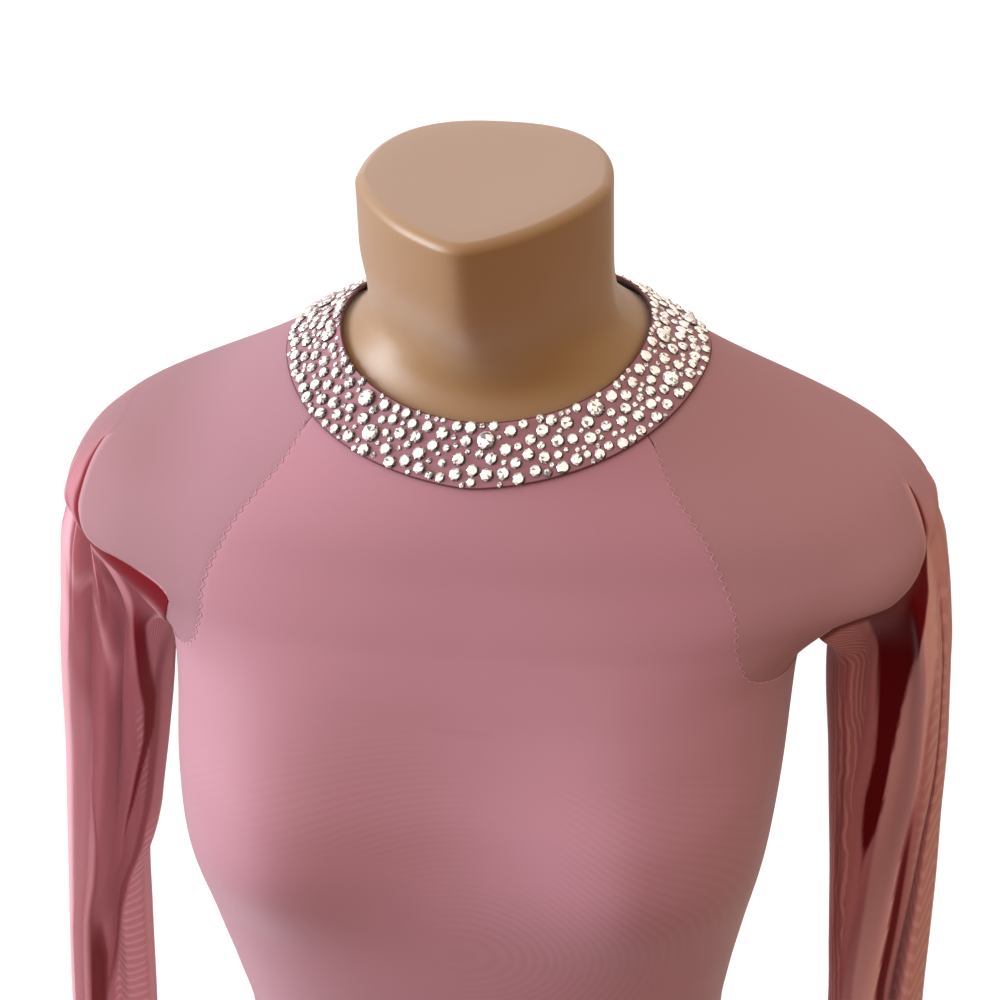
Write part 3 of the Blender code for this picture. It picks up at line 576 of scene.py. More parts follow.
class Nodes:
    """A node tree under construction."""

    def __init__(self, tree):
        self.tree = tree

    def node(self, kind, settings=None, inputs=None, output=0):
        """A node of any kind: its settings first, then its sockets' values or links."""
        made = self.tree.nodes.new(kind)
        for key, value in (settings or {}).items():
            if key == "stops":
                ramp = made.color_ramp
                while len(ramp.elements) < len(value):
                    ramp.elements.new(0.5)
                for element, (place, colour) in zip(ramp.elements, value):
                    element.position = place
                    element.color = (*colour, 1.0)
            else:
                setattr(made, key, value)
        for key, value in (inputs or {}).items():
            self.feed(made.inputs[key], value)
        return Value(self, made.outputs[output])

    def feed(self, socket, value):
        if isinstance(value, Value):
            self.tree.links.new(value.socket, socket)
        elif hasattr(value, "__len__") and len(value) == 3 and socket.type == "RGBA":
            socket.default_value = (*value, 1.0)
        else:
            socket.default_value = value

    def maths(self, operation, *values, clamp=False):
        settings = {"operation": operation, "use_clamp": clamp}
        return self.node("ShaderNodeMath", settings, dict(enumerate(values)))

    def sine(self, value):
        return self.maths("SINE", value)

    def soft_step(self, value, low, high):
        settings = {"interpolation_type": "SMOOTHSTEP"}
        inputs = {"Value": value, "From Min": low, "From Max": high}
        return self.node("ShaderNodeMapRange", settings, inputs)

    def mix(self, mask, first, second):
        """A colour between two, by a mask."""
        return self.node("ShaderNodeMix", {"data_type": "RGBA"}, {0: mask, 6: first, 7: second}, output=2)

    def axis(self, vector, letter):
        return self.node("ShaderNodeSeparateXYZ", inputs={0: vector}, output="XYZ".index(letter))


class Finish(Nodes):
    """A procedural material under construction."""

    def __init__(self, name, constants):
        self.material = bpy.data.materials.new(name)
        self.material.use_nodes = True
        super().__init__(self.material.node_tree)
        self.shader = self.tree.nodes["Principled BSDF"]
        for socket, value in constants.items():
            self.set(socket, value)

    def set(self, socket, value):
        self.feed(self.shader.inputs[socket], value)

    def place(self):
        """The surface's own place in the dress, in metres."""
        return self.node("ShaderNodeTexCoord", output="Object")

    def cloth(self):
        """Places along and down a sheet of cloth, in metres."""
        return self.node("ShaderNodeUVMap", {"uv_map": "cloth"})

    def shade(self, name):
        """A value kept on the mesh under a name."""
        return self.node("ShaderNodeAttribute", {"attribute_name": name}, output="Fac")

    def noise(self, scale, detail, vector=None):
        inputs = {"Scale": scale, "Detail": detail, "Vector": vector or self.place()}
        return self.node("ShaderNodeTexNoise", inputs=inputs)

    def bump(self, height, distance, strength):
        inputs = {"Height": height, "Distance": distance, "Strength": strength}
        self.set("Normal", self.node("ShaderNodeBump", inputs=inputs))


# Steps of the watered lines, in metres: rings on the chest, lines down a sleeve, and lines across it,
# which lie further apart on the far sleeve
RING_STEP, DOWN_STEP, CROSS_STEP, CROSS_MORE = 0.0030, 0.0036, 0.0054, 0.0044
RING_HEIGHT = 0.545


def plastic_finish():
    """Moulded plastic of the form: warm tan, satin, faintly mottled."""
    finish = Finish("moulded_form", {
        "Specular IOR Level": 0.70, "Coat Weight": 0.60, "Coat Roughness": 0.42,
        "Sheen Weight": 0.62, "Sheen Roughness": 0.45, "Sheen Tint": (1.0, 0.98, 0.96),
    })
    clouds = finish.noise(9.0, 3.0)
    grain = finish.noise(900.0, 2.0)
    tan = finish.mix(clouds, (0.335, 0.176, 0.052), (0.375, 0.202, 0.066))
    finish.set("Base Color", finish.mix(grain * 0.25, tan, (0.32, 0.16, 0.045)))
    finish.set("Roughness", 0.38 + clouds * 0.10 + grain * 0.04)
    finish.bump(grain + clouds * 4.0, 0.00008, 0.35)
    return finish.material


def stretch_finish(name, colour, deep, light):
    """Opaque, lined stretch cloth: a close matt knit with a soft nap and a faint watered pattern."""
    finish = Finish(name, {
        "Specular IOR Level": 0.25, "Sheen Weight": 0.62, "Sheen Roughness": 0.40, "Sheen Tint": (0.92, 0.92, 1.0),
    })
    place = finish.place()
    across, high = finish.axis(place, "X"), finish.axis(place, "Z")
    drift = finish.noise(5.0, 1.0)
    # Rings round the middle of the chest, drawn out sideways and bent by the drift
    sideways = across * 0.62
    rise = high - RING_HEIGHT
    rings = finish.maths("SQRT", sideways * sideways + rise * rise + 0.0004)
    waves = finish.sine((rings + drift * 0.055) * (2 * math.pi / RING_STEP)) * 0.5 + 0.5
    shown = finish.soft_step(rings, 0.150, 0.050) * finish.soft_step(finish.noise(9.0, 1.0), 0.40, 0.60)
    clouds = finish.noise(6.0, 2.0)
    fleck = finish.noise(1500.0, 1.0)
    base = finish.mix(clouds, colour, light)
    base = finish.mix(waves * shown * 0.20 + fleck * 0.10, base, deep)
    finish.set("Base Color", base)
    finish.set("Roughness", 0.56 + fleck * 0.12)
    finish.bump(waves * shown * 0.3 + fleck, 0.00008, 0.30)
    return finish.material


def mesh_finish(name, colour, deep, light, stretched, thin, thick):
    """Sheer stretch mesh: see-through between threads, denser in folds, with painted shade, highlights and glow."""
    finish = Finish(name, {
        "Specular IOR Level": 0.06, "Sheen Weight": 0.22, "Sheen Roughness": 0.38, "Sheen Tint": (0.98, 0.88, 0.92),
        "Emission Strength": 0.20,
    })
    folded, taut, watered = (finish.shade(name) for name in ("folded", "taut", "watered"))
    cloth = finish.cloth()
    along, down = finish.axis(cloth, "X"), finish.axis(cloth, "Y")
    drift = finish.noise(9.0, 2.0, cloth)
    wander = finish.noise(38.0, 2.0, cloth)
    aside = finish.axis(finish.place(), "X")
    away = finish.soft_step(aside, -0.12, 0.12)  # from the window
    bow = finish.maths("ABSOLUTE", finish.sine(along * 62.0 + along * away * 70.0)) * 0.007
    downward = finish.sine((along + drift * 0.026 + wander * 0.008) * (2 * math.pi / DOWN_STEP))
    pitch = away * CROSS_MORE + CROSS_STEP
    crosswise = finish.sine((down + bow + drift * 0.020 + wander * 0.004) * 2 * math.pi / pitch)
    run = finish.soft_step(watered, -0.1, 0.1)
    lines = finish.soft_step(downward * run + crosswise * (1 - run), -0.2, 0.9)
    patch = finish.maths("ABSOLUTE", watered) * (1 - taut)
    fleck = finish.noise(1300.0, 1.0)
    # Painted shade, which also makes the cloth denser where layers fold, and painted highlights, as kept on the
    # mesh
    dark = finish.maths("MAXIMUM", folded, 0.0)
    ridge = finish.maths("MAXIMUM", 0.0 - folded, 0.0)
    base = finish.mix(finish.noise(8.0, 2.0), colour, light)
    # Painted light and shade: browner away from the window, and darker at the near shoulder's outer end
    base = finish.mix(away, base, (0.54, 0.190, 0.180))
    pale = finish.mix(away, (0.73, 0.43, 0.48), (0.80, 0.44, 0.38))
    window_side_tone = tuple(value * share for value, share in zip(stretched, (0.98, 1.02, 1.08)))
    shaded = tuple(value * 0.80 for value in stretched)
    taut_tone = finish.mix(away, window_side_tone, stretched)
    taut_tone = finish.mix(finish.soft_step(aside, -0.115, -0.165), taut_tone, shaded)
    base = finish.mix(taut, base, taut_tone)
    # Pale watered lines, and the painted highlights
    base = finish.mix(lines * patch * 0.45 + ridge, base, pale)
    # Painted shade in a deep colour, one on the window's side and another away from it
    base = finish.mix(dark, base, finish.mix(away, (0.155, 0.004, 0.010), deep))
    finish.set("Base Color", base)
    close = finish.maths("MAXIMUM", dark, taut * max(0.0, 0.86 - thin) / (thick - thin))
    alpha = thin + (thick - thin) * close + lines * patch * 0.10 + (fleck - 0.5) * 0.08
    finish.set("Alpha", finish.maths("ADD", alpha, 0.0, clamp=True))
    # Painted light: a glow in the cloth's own colour, most on the window's side and none where it lies taut
    painted_glow = finish.mix(finish.maths("MAXIMUM", taut, away * 0.75), base, (0.0, 0.0, 0.0))
    finish.set("Emission Color", painted_glow)
    finish.set("Roughness", 0.50 + fleck * 0.12)
    finish.bump(fleck + lines * patch, 0.00008, 0.30)
    finish.material.use_transparent_shadow = True
    return finish.material


def band_finish():
    """Darker cloth under the stones, with a soft grain."""
    finish = Finish("band_cloth", {"Sheen Weight": 0.25, "Sheen Roughness": 0.4})
    grain = finish.noise(1400.0, 1.0)
    clouds = finish.noise(40.0, 2.0)
    base = finish.mix(clouds, (0.360, 0.160, 0.195), (0.470, 0.235, 0.275))
    finish.set("Base Color", finish.mix(grain * 0.3, base, (0.22, 0.08, 0.11)))
    finish.set("Roughness", 0.52 + grain * 0.14)
    finish.bump(grain, 0.00012, 0.4)
    return finish.material


def grained_finish(name, scale, detail, tones, gloss, relief=None, constants=None):
    """A plain finish whose colour, roughness and relief follow one fine grain."""
    finish = Finish(name, constants or {})
    grain = finish.noise(scale, detail)
    finish.set("Base Color", finish.mix(grain, *tones))
    finish.set("Roughness", gloss[0] + grain * gloss[1])
    if relief:
        finish.bump(grain, *relief)
    return finish.material


def stone_finish():
    """Foil-backed glass: pale table and facets, some dark, by painted glints and shade on each facet, and a painted
    glow.
    """
    finish = Finish("foiled_glass", {
        "Metallic": 0.75, "Coat Weight": 1.0, "Coat Roughness": 0.03, "Emission Strength": 0.36,
    })
    glint = finish.shade("glint")
    tone = finish.node("ShaderNodeValToRGB", {"stops": [
        (0.00, (0.020, 0.016, 0.016)),
        (0.22, (0.13, 0.11, 0.11)),
        (0.50, (0.46, 0.43, 0.41)),
        (0.80, (0.86, 0.83, 0.79)),
        (1.00, (1.0, 0.98, 0.94)),
    ]}, {"Fac": glint})
    finish.set("Base Color", tone)
    finish.set("Roughness", 0.30 - glint * 0.16)
    # A painted glow in the facets' painted colours
    finish.set("Emission Color", tone)
    return finish.material


ROSE = (0.495, 0.238, 0.290)
ROSES = {"colour": ROSE, "deep": (0.370, 0.150, 0.180), "light": (0.525, 0.262, 0.318)}

PLASTIC = plastic_finish()
STRETCH = stretch_finish("lined_stretch", **ROSES)
BRIEFS = stretch_finish("brief_cloth", **ROSES)
SLEEVE_MESH = mesh_finish(
    "sheer_mesh", colour=(0.530, 0.200, 0.238), deep=(0.120, 0.002, 0.004), light=(0.575, 0.252, 0.290),
    stretched=(0.510, 0.272, 0.300), thin=0.72, thick=0.98,
)
SKIRT_MESH = mesh_finish("skirt_mesh", stretched=ROSE, thin=0.90, thick=0.98, **ROSES)
BAND_CLOTH = band_finish()
# Dark narrow binding at both edges of the band
PIPING = grained_finish(
    "band_piping", 1800.0, 1.0, ((0.105, 0.018, 0.030), (0.17, 0.035, 0.05)), (0.45, 0.15), (0.00008, 0.4)
)
STONES = stone_finish()
# Milky, with a slow drift of pink and cream
PEARL = grained_finish(
    "button_shell", 260.0, 2.0, ((0.80, 0.70, 0.66), (0.86, 0.83, 0.77)), (0.12, 0.10), (0.00005, 0.2),
    {"Coat Weight": 0.8, "Coat Roughness": 0.08},
)
# Pale thread with a faint painted glow
THREAD = grained_finish(
    "sewing_thread", 3000.0, 1.0, ((0.64, 0.37, 0.42), (0.76, 0.48, 0.53)), (0.40, 0.15),
    constants={"Emission Color": (0.60, 0.36, 0.40), "Emission Strength": 0.06},
)


# The form

TOP_MIDDLE = np.array([0.0, FIGURE[-1, CENTRE], FORM_TOP])
TOP_RIM = 0.0048  # radius of the cut top's edge


def rounded(ring, height):
    """A level section of the neck, widened a little, with its front ridge rounded off."""
    wider = float(ease(height, 0.800, 0.840))
    ring[:, 0] = ring[:, 0] * (1 + 0.045 * wider) - 0.0025 * wider
    ring[:, 1] += np.maximum(ring[:, 1] - TOP_MIDDLE[1], 0) * 0.09 * wider
    turns = np.linspace(-math.pi, math.pi, len(ring), endpoint=False)
    share = (float(ease(height, 0.770, 0.815)) * ease(np.cos(turns), 0.72, 0.95))[:, None]
    if share.max() == 0:
        return ring
    steps = range(-BELL_REACH, BELL_REACH + 1)
    soft = sum(weight * np.roll(ring, step, axis=0) for step, weight in zip(steps, bell(4.5)))
    return ring * (1 - share) + soft * share


def form_rows():
    """Level rings of the form, from its flat ends over the rounded rim to the middle of its cut top."""
    turns = np.linspace(-math.pi, math.pi, 160, endpoint=False)
    heights = np.concatenate([
        np.arange(0, 0.640, 0.005), np.arange(0.640, 0.730, 0.0016), np.arange(0.730, FORM_TOP - 0.008, 0.003)
    ])
    rows = [rounded(on_figure(turns, height, -UNDER_CLOTH), height) for height in heights]
    rows[0][:, 2] = 0.0
    edge = rounded(on_section(turns, np.full(len(turns), FORM_TOP - 0.004)), FORM_TOP)
    edge[:, 2] = FORM_TOP
    reach = np.linalg.norm(edge - TOP_MIDDLE, axis=1, keepdims=True)
    for angle in np.radians([0, 12, 24, 36, 48, 60, 72, 82, 90]):
        inward = TOP_RIM * (1 - math.cos(angle)) + UNDER_CLOTH
        row = TOP_MIDDLE + (edge - TOP_MIDDLE) * (1 - inward / reach)
        row[:, 2] = FORM_TOP - TOP_RIM * (1 - math.sin(angle))
        rows.append(row)
    # The cut top sinks very slightly towards its middle
    for share, sunk in ((0.80, 0.0001), (0.55, 0.0003), (0.28, 0.0005), (0.06, 0.0006)):
        row = TOP_MIDDLE + (edge - TOP_MIDDLE) * share * (1 - (TOP_RIM + UNDER_CLOTH) / reach)
        row[:, 2] = FORM_TOP - sunk
        rows.append(row)
    return rows


def below_gap(vertex):
    return vertex.co.z < GAP_MIDDLE - 0.001


def add_form():
    rows = form_rows()
    mesh = sheet_mesh("torso_form", rows, closed=True)
    width, count = len(rows[0]), len(mesh.vertices)
    face_all_out(mesh, ends=(range(width)[::-1], range(count - width, count)))
    form = add_piece("torso_form", mesh, PLASTIC)
    # The gap between the thighs: a round vault on straight sides
    cutter = add_cylinder(48, THIGH_GAP, 0.4, (0, 0, GAP_MIDDLE), (math.pi / 2, 0, 0))
    for vertex in filter(below_gap, cutter.data.vertices):
        if abs(vertex.co.x) > 0.01:
            vertex.co.x = math.copysign(THIGH_GAP, vertex.co.x)
    edit_chosen(cutter, "VERT", below_gap)
    bpy.ops.transform.resize(value=(1, 1, 0), center_override=(0, 0, -0.02))
    bpy.ops.object.mode_set(mode="OBJECT")
    cut = form.modifiers.new("thigh_gap", "BOOLEAN")
    cut.operation = "DIFFERENCE"
    cut.object = cutter
    cut.solver = "EXACT"
    apply_all(form)
    bpy.data.objects.remove(cutter, do_unlink=True)
    choose(form)
    smooth_below(42)
    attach(form, "root")
    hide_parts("form")


# Bodice


def raglan_path(at, way):
    """Turns and heights along the raglan seam: way is 1 for the sleeve's edge, -1 for a panel's, 0 between them."""
    table = RAGLAN.copy()
    table[0, 1] = edge_height(table[0, 0], BAND_EDGE)
    line = through(table, at)
    turn, height = line[..., 0], line[..., 1]
    ahead = through(table, at + 0.02) - through(table, at - 0.02)
    run, drop = ahead[..., 0] * SEAM_REACH, ahead[..., 1]
    length = np.hypot(run, drop)
    half = SEAM_HALF * way
    turn = np.minimum(beside(turn, height, -drop / length * half), math.pi / 2)
    return turn, height + run / length * half, line[..., 2], line[..., 3]


def keyhole_turn(height):
    """How far a back panel's edge stands from the centre line."""
    span = np.clip((KEYHOLE_TOP - height) / (KEYHOLE_TOP - KEYHOLE_END), 0, 1)
    half = SEAM_HALF + KEYHOLE_HALF * np.sin(math.pi * np.sqrt(span)) ** 0.8
    return half / KEYHOLE_REACH


def panel_rows(behind, columns):
    """Turn and height grids of a bodice panel, and how its columns are spread.

    The front panel runs from seam to seam, -1 to 1, and a back panel from the centre line to its seam, 0 to 1.
    """
    share = np.linspace(0 if behind else -1, 1, columns)
    spread = (1 - np.cos(share * math.pi)) / 2 if behind else np.sin(share * math.pi / 2)
    turns, heights = [], []
    for at in np.linspace(0, len(RAGLAN) - 1, 84):
        edge, height, centre_front, centre_back = raglan_path(np.array(at), -1)
        middle = centre_back if behind else centre_front
        turns.append(float(edge))
        heights.append(middle + (height - middle) * np.abs(spread) ** 1.6)
    for height in np.linspace(UNDERARM, SEAM, 92):
        turns.append(float(beside(math.pi / 2, height, -SEAM_HALF)))
        heights.append(np.full(columns, height))
    turns, heights = np.array(turns)[:, None], np.array(heights)
    first = keyhole_turn(heights[:, :1]) if behind else 0.0
    turn = first + (turns - first) * spread
    # The first rows are drawn up under the band
    band = edge_height(math.pi - turn if behind else turn, BAND_EDGE)
    lift = np.clip(1 - np.arange(len(heights)) / UNDER_BAND_ROWS, 0, 1)[:, None]
    heights = heights * (1 - lift) + (band + UNDER_BAND * lift) * lift
    return turn, heights, spread


def seam_dip(away):
    """How far cloth is drawn in by a seam that is some way off."""
    return -SEAM_DIP * np.exp(-((away / SEAM_WIDE) ** 2))


def add_panel(node, behind, side, columns):
    turn, height, spread = panel_rows(behind, columns)
    width = np.abs(turn).max(axis=1) * PANEL_REACH
    edges = (1 - np.abs(spread))[None, :] * width[:, None]
    if behind:
        edges = np.minimum(edges, spread[None, :] * width[:, None])
    angle = math.pi - turn if behind else turn
    rows = on_figure(angle * side, height, seam_dip(edges))
    return add_cloth(node, rows, False, STRETCH_WALL, STRETCH)


# Sleeves


def folded_place(s):
    """The place of a sleeve column in its front half, and whether it lies behind."""
    s = np.asarray(s, float) % (2 * HALF_LOOP)
    behind = s > HALF_LOOP
    return np.where(behind, 2 * HALF_LOOP - s, s), behind


def top_loop(s):
    """Turn and height of a sleeve's upper edge at its columns."""
    half, behind = folded_place(s)
    seam_turn, seam_height, _, _ = raglan_path(np.clip(half - NECK_POINTS, 0, len(RAGLAN) - 1), 1)
    seam_start = float(raglan_path(np.array(0.0), 1)[0])
    band_turn = math.pi / 2 + (seam_start - math.pi / 2) * np.clip(half / NECK_POINTS, 0, 1)
    by_band = half <= NECK_POINTS
    turn = np.where(by_band, band_turn, seam_turn)
    turn = np.where(behind, math.pi - turn, turn)
    height = np.where(by_band, edge_height(turn, BAND_EDGE) + UNDER_BAND, seam_height)
    near_band = ease(half, NECK_POINTS, NECK_POINTS + 0.35)
    height = np.where(by_band, height, height + (1 - near_band) * UNDER_BAND)
    return turn, height


def leave_loop(s, side):
    """Turn, height and lift off the shoulder of the line where a sleeve leaves it."""
    half, behind = folded_place(s)
    table = FAR_LEAVE if side > 0 else NEAR_LEAVE
    turns, heights, lifts = through(table, half).T
    return np.where(behind, math.pi - turns, turns), heights, lifts


# Painted shade and light in the front of a hanging sleeve: how dark the painted shade is (painted light is
# negative), how soft, then level spans across it. Each span is its height in millimetres, and where it starts
# and ends, in percent of the way from the outer edge to the inner.
NEAR_SHADE_AND_LIGHT = (
    # Painted shade: a brownish middle, then the deep fold that crosses towards the underarm
    (0.34, 0.05, ((665, 46, 74), (629, 55, 78), (602, 54, 84), (560, 53, 86), (520, 52, 78), (485, 51, 67),
        (440, 50, 72))),
    (0.95, 0.014, ((693, 76, 83), (680, 75, 84), (643, 78, 87), (608, 85, 93), (582, 90, 97), (560, 89, 96),
        (541, 84, 90), (515, 77, 82), (485, 68, 70))),
    # Painted shade towards the front layer's inner edge, which swings across further down
    (0.62, 0.014, ((600, 96.5, 100), (588, 94, 98.5), (548, 93, 98), (505, 90, 96.5), (480, 83, 91), (450, 76, 85),
        (409, 55, 61), (383, 44, 48))),
    (0.36, 0.08, ((540, 82, 94), (500, 72, 92), (470, 62, 86), (440, 56, 76), (409, 50, 60), (383, 44, 48))),
    (0.8, 0.012, ((455, 48, 48.5), (434, 46.5, 49.5), (409, 45.5, 50.5), (380, 43, 48), (300, 43, 48),
        (200, 41, 45), (150, 42, 45))),
    # Painted light on the layer behind it and on the outer strips, then a faint painted shade
    (-0.3, 0.014, ((480, 94, 100), (450, 88, 100), (409, 65, 100), (383, 53, 100), (300, 54, 100), (150, 52, 100))),
    (-0.8, 0.03, ((700, 12, 20), (674, 10, 24), (625, 10, 31), (596, 10, 33), (540, 10, 40), (499, 10, 47),
        (411, 10, 44), (150, 10, 38))),
    (0.12, 0.014, ((629, 34, 52), (602, 34, 52), (499, 49, 51), (450, 48, 50))),
)
FAR_SHADE_AND_LIGHT = (
    # Painted shade towards the inner edge
    (0.2, 0.02, ((690, 60, 100), (600, 64, 100), (550, 78, 100), (500, 83, 100), (430, 84, 100), (150, 84, 100))),
    # Painted shade in the deep hollow, then in the one that opens further down
    (1, 0.014, ((702, 12, 62), (686, 12, 58), (660, 20, 60), (637, 27, 59), (620, 32, 58), (596, 39, 57.5),
        (572, 46, 61), (560, 48.5, 64.5), (549, 50, 68), (530, 56, 70), (514, 66, 69), (499, 70, 71))),
    (0.95, 0.014, ((575, 23.5, 24.5), (557, 25, 29), (535, 27.5, 34), (513, 31, 38.5), (483, 36, 45),
        (457, 41, 50.5), (400, 44, 54), (300, 40, 50), (220, 39, 46), (150, 40, 44))),
    # Painted light on the outer strip, then on the front band
    (-0.45, 0.03, ((700, 0, 8), (600, 0, 15), (500, 0, 25), (400, 0, 30), (150, 0, 30))),
    (-0.85, 0.02, ((686, 8, 12), (656, 11, 22), (634, 14, 27), (608, 18, 35), (596, 20, 39), (572, 25, 46.5),
        (549, 29, 50), (508, 40, 60), (450, 50, 72), (400, 54, 76), (150, 48, 78))),
)
# Watered patterns: 1 where its lines run down the cloth, -1 where they run across
NEAR_WATERED = (
    (1, 0.016, ((690, 86, 100), (620, 94, 100), (600, 98, 100))),
    (-1, 0.016, ((480, 93, 100), (450, 88, 100), (409, 65, 100), (383, 53, 100), (150, 54, 100))),
    (-0.8, 0.016, ((570, 84, 90), (530, 88, 93))),
)
FAR_WATERED = (
    (1, 0.016, ((680, 66, 92), (600, 68, 90), (560, 78, 94), (450, 86, 100), (150, 86, 100))),
    (-0.6, 0.06, ((670, 0, 10), (600, 0, 16), (500, 0, 25), (430, 0, 34), (150, 0, 30))),
)
# Fine creases: a route by height in millimetres and percent across, then half width and depth in
# millimetres (a ridge is negative) and painted shade (a painted highlight is negative)
NEAR_CREASES = (
    (((674, 23), (596, 32), (540, 40), (499, 48), (400, 45), (260, 38)), 1, 1.2, 0.5),
    (((705, 18), (680, 23), (658, 32), (648, 44), (629, 53), (608, 60)), 1.4, -1.6, -1),
    (((690, 42), (665, 56), (640, 64), (600, 68)), 1.6, -1.2, -0.35),
    (((610, 12), (520, 20), (420, 26), (300, 22)), 3, -0.8, -0.15),
)
FAR_CREASES = (
    (((700, 8), (656, 11), (634, 17), (594, 21), (568, 26.2), (553, 30), (513, 40), (483, 46.5), (457, 52),
        (360, 56)), 1.3, -1.2, -0.8),
    (((640, 83), (600, 84), (560, 86), (520, 90), (460, 92)), 1.6, 1.6, 0.35),
    (((640, 95), (560, 97), (480, 97)), 2.2, -1, -0.3),
)
# How far the painted shadow under the shoulder's edge reaches down the cloth: column, near and far sleeve, in
# millimetres
EDGE_SHADE = np.array([
    (0, 0, 0), (2.4, 0, 1), (4, 3, 5), (6, 7, 6), (8, 9, 8), (10, 15, 8), (12, 18, 6), (14, 16, 3), (16, 6, 0),
    (18, 0, 0),
]) * (1, 0.001, 0.001)
EDGE_HIGHLIGHT = 0.5  # how strong the painted highlight along that edge is
LEAST_SHADE = 0.0015
CREASE_SPREAD = 1.15  # the folded cloth's width against the sleeve's
NEAR_PATTERN = NEAR_CREASES, NEAR_SHADE_AND_LIGHT, NEAR_WATERED
FAR_PATTERN = FAR_CREASES, FAR_SHADE_AND_LIGHT, FAR_WATERED


def in_spans(spans, soft, height, across):
    """1 between the two sides of a patch, soft at its sides and ends."""
    table = np.array(spans)[::-1] * (0.001, 0.01, 0.01)
    first, last = (np.interp(height, table[:, 0], table[:, column]) for column in (1, 2))
    inside = ease(across, first - soft, first + soft) * (1 - ease(across, last - soft, last + soft))
    narrow = ease(last - first, 0.0, 0.06)
    low, high = table[0, 0], table[-1, 0]
    ends = ease(height, low - 0.02, low) * (1 - ease(height, high, high + 0.02))
    return inside * (0.35 + 0.65 * narrow) * ends


def along_creases(creases, height, across, width):
    """How deep the creases lie at a place, and how much painted shade or highlight they carry."""
    depth, dark = np.zeros(np.shape(across)), np.zeros(np.shape(across))
    for route, half_width, sunk, darkness in creases:
        table = np.array(route)[::-1] * (0.001, 0.01)
        away = (across - smooth_column(table, 1, height)) * width
        low, high = table[0, 0], table[-1, 0]
        shape = np.exp(-((away / (half_width * 0.001)) ** 2)) * ease(height, low - 0.03, low + 0.01)
        shape = shape * (1 - ease(height, high - 0.01, high + 0.015))
        depth += sunk * 0.001 * shape
        dark += darkness * shape
    return depth, dark


def hanging_section(height, s, folds, side):
    """Points of the hanging sleeve at heights and columns, the painted shade or light of each, and its watered
    pattern.
    """
    outer, inner, front, back, lean = (smooth_column(SLEEVE[::-1], column, height) for column in range(1, 6))
    first = 3 if side > 0 else 1
    outer = outer - smooth_column(SLIMMER, first, height)
    inner = inner + smooth_column(SLIMMER, first + 1, height)
    shares = []
    for level in (slice(0, 2), slice(2, 4)):
        loop = np.concatenate([folds[:, level], BACK_FOLDS[1:-1, level][::-1] * (1, -1)])
        shares.append(through(loop, s, closed=True))
    part = ease(FOLDS_TOP - height, 0.0, FOLDS_TOP - FOLDS_LOW)[..., None]
    share = shares[0] * (1 - part) + shares[1] * part
    across, depth = share[..., 0], share[..., 1]
    x = outer + (inner - outer) * across - side * lean
    y = SLEEVE_MIDDLE + np.where(depth > 0, depth * (front - SLEEVE_MIDDLE), -depth * (back - SLEEVE_MIDDLE))
    in_front = ~folded_place(s)[1]
    width = (outer - inner) * CREASE_SPREAD
    creases, tones, patterns = FAR_PATTERN if side > 0 else NEAR_PATTERN
    sunk, dark = along_creases(creases, height, across, width)
    tone, watered = np.zeros(dark.shape), np.zeros(dark.shape)
    # The strongest painted shade or light of the tables at each point
    for level, soft, spans in tones:
        patch = level * in_spans(spans, soft, height, across)
        tone = np.where(np.abs(patch) > np.abs(tone), patch, tone)
    for level, soft, spans in patterns:
        watered += level * in_spans(spans, soft, height, across)
    y = y + np.where(in_front, sunk, 0.0)
    # The hidden back is plainer, without painted shade or light, and what is in front runs on round the sleeve's
    # edges
    round_edge = 1 - ease(np.minimum(across, 1 - across), 0.0, 0.16)
    dark = np.clip(dark + tone, -1, 1) * np.where(in_front, 1.0, round_edge)
    clouds = np.sin(9 * across + 22 * height) * np.sin(31 * height - 5 * across + side)
    hidden = 0.6 * ease(clouds, -0.1, 1.0)
    watered = np.where(in_front, watered, hidden + (watered - hidden) * round_edge)
    return np.stack([x, y, height + 0 * x], axis=-1), dark, watered


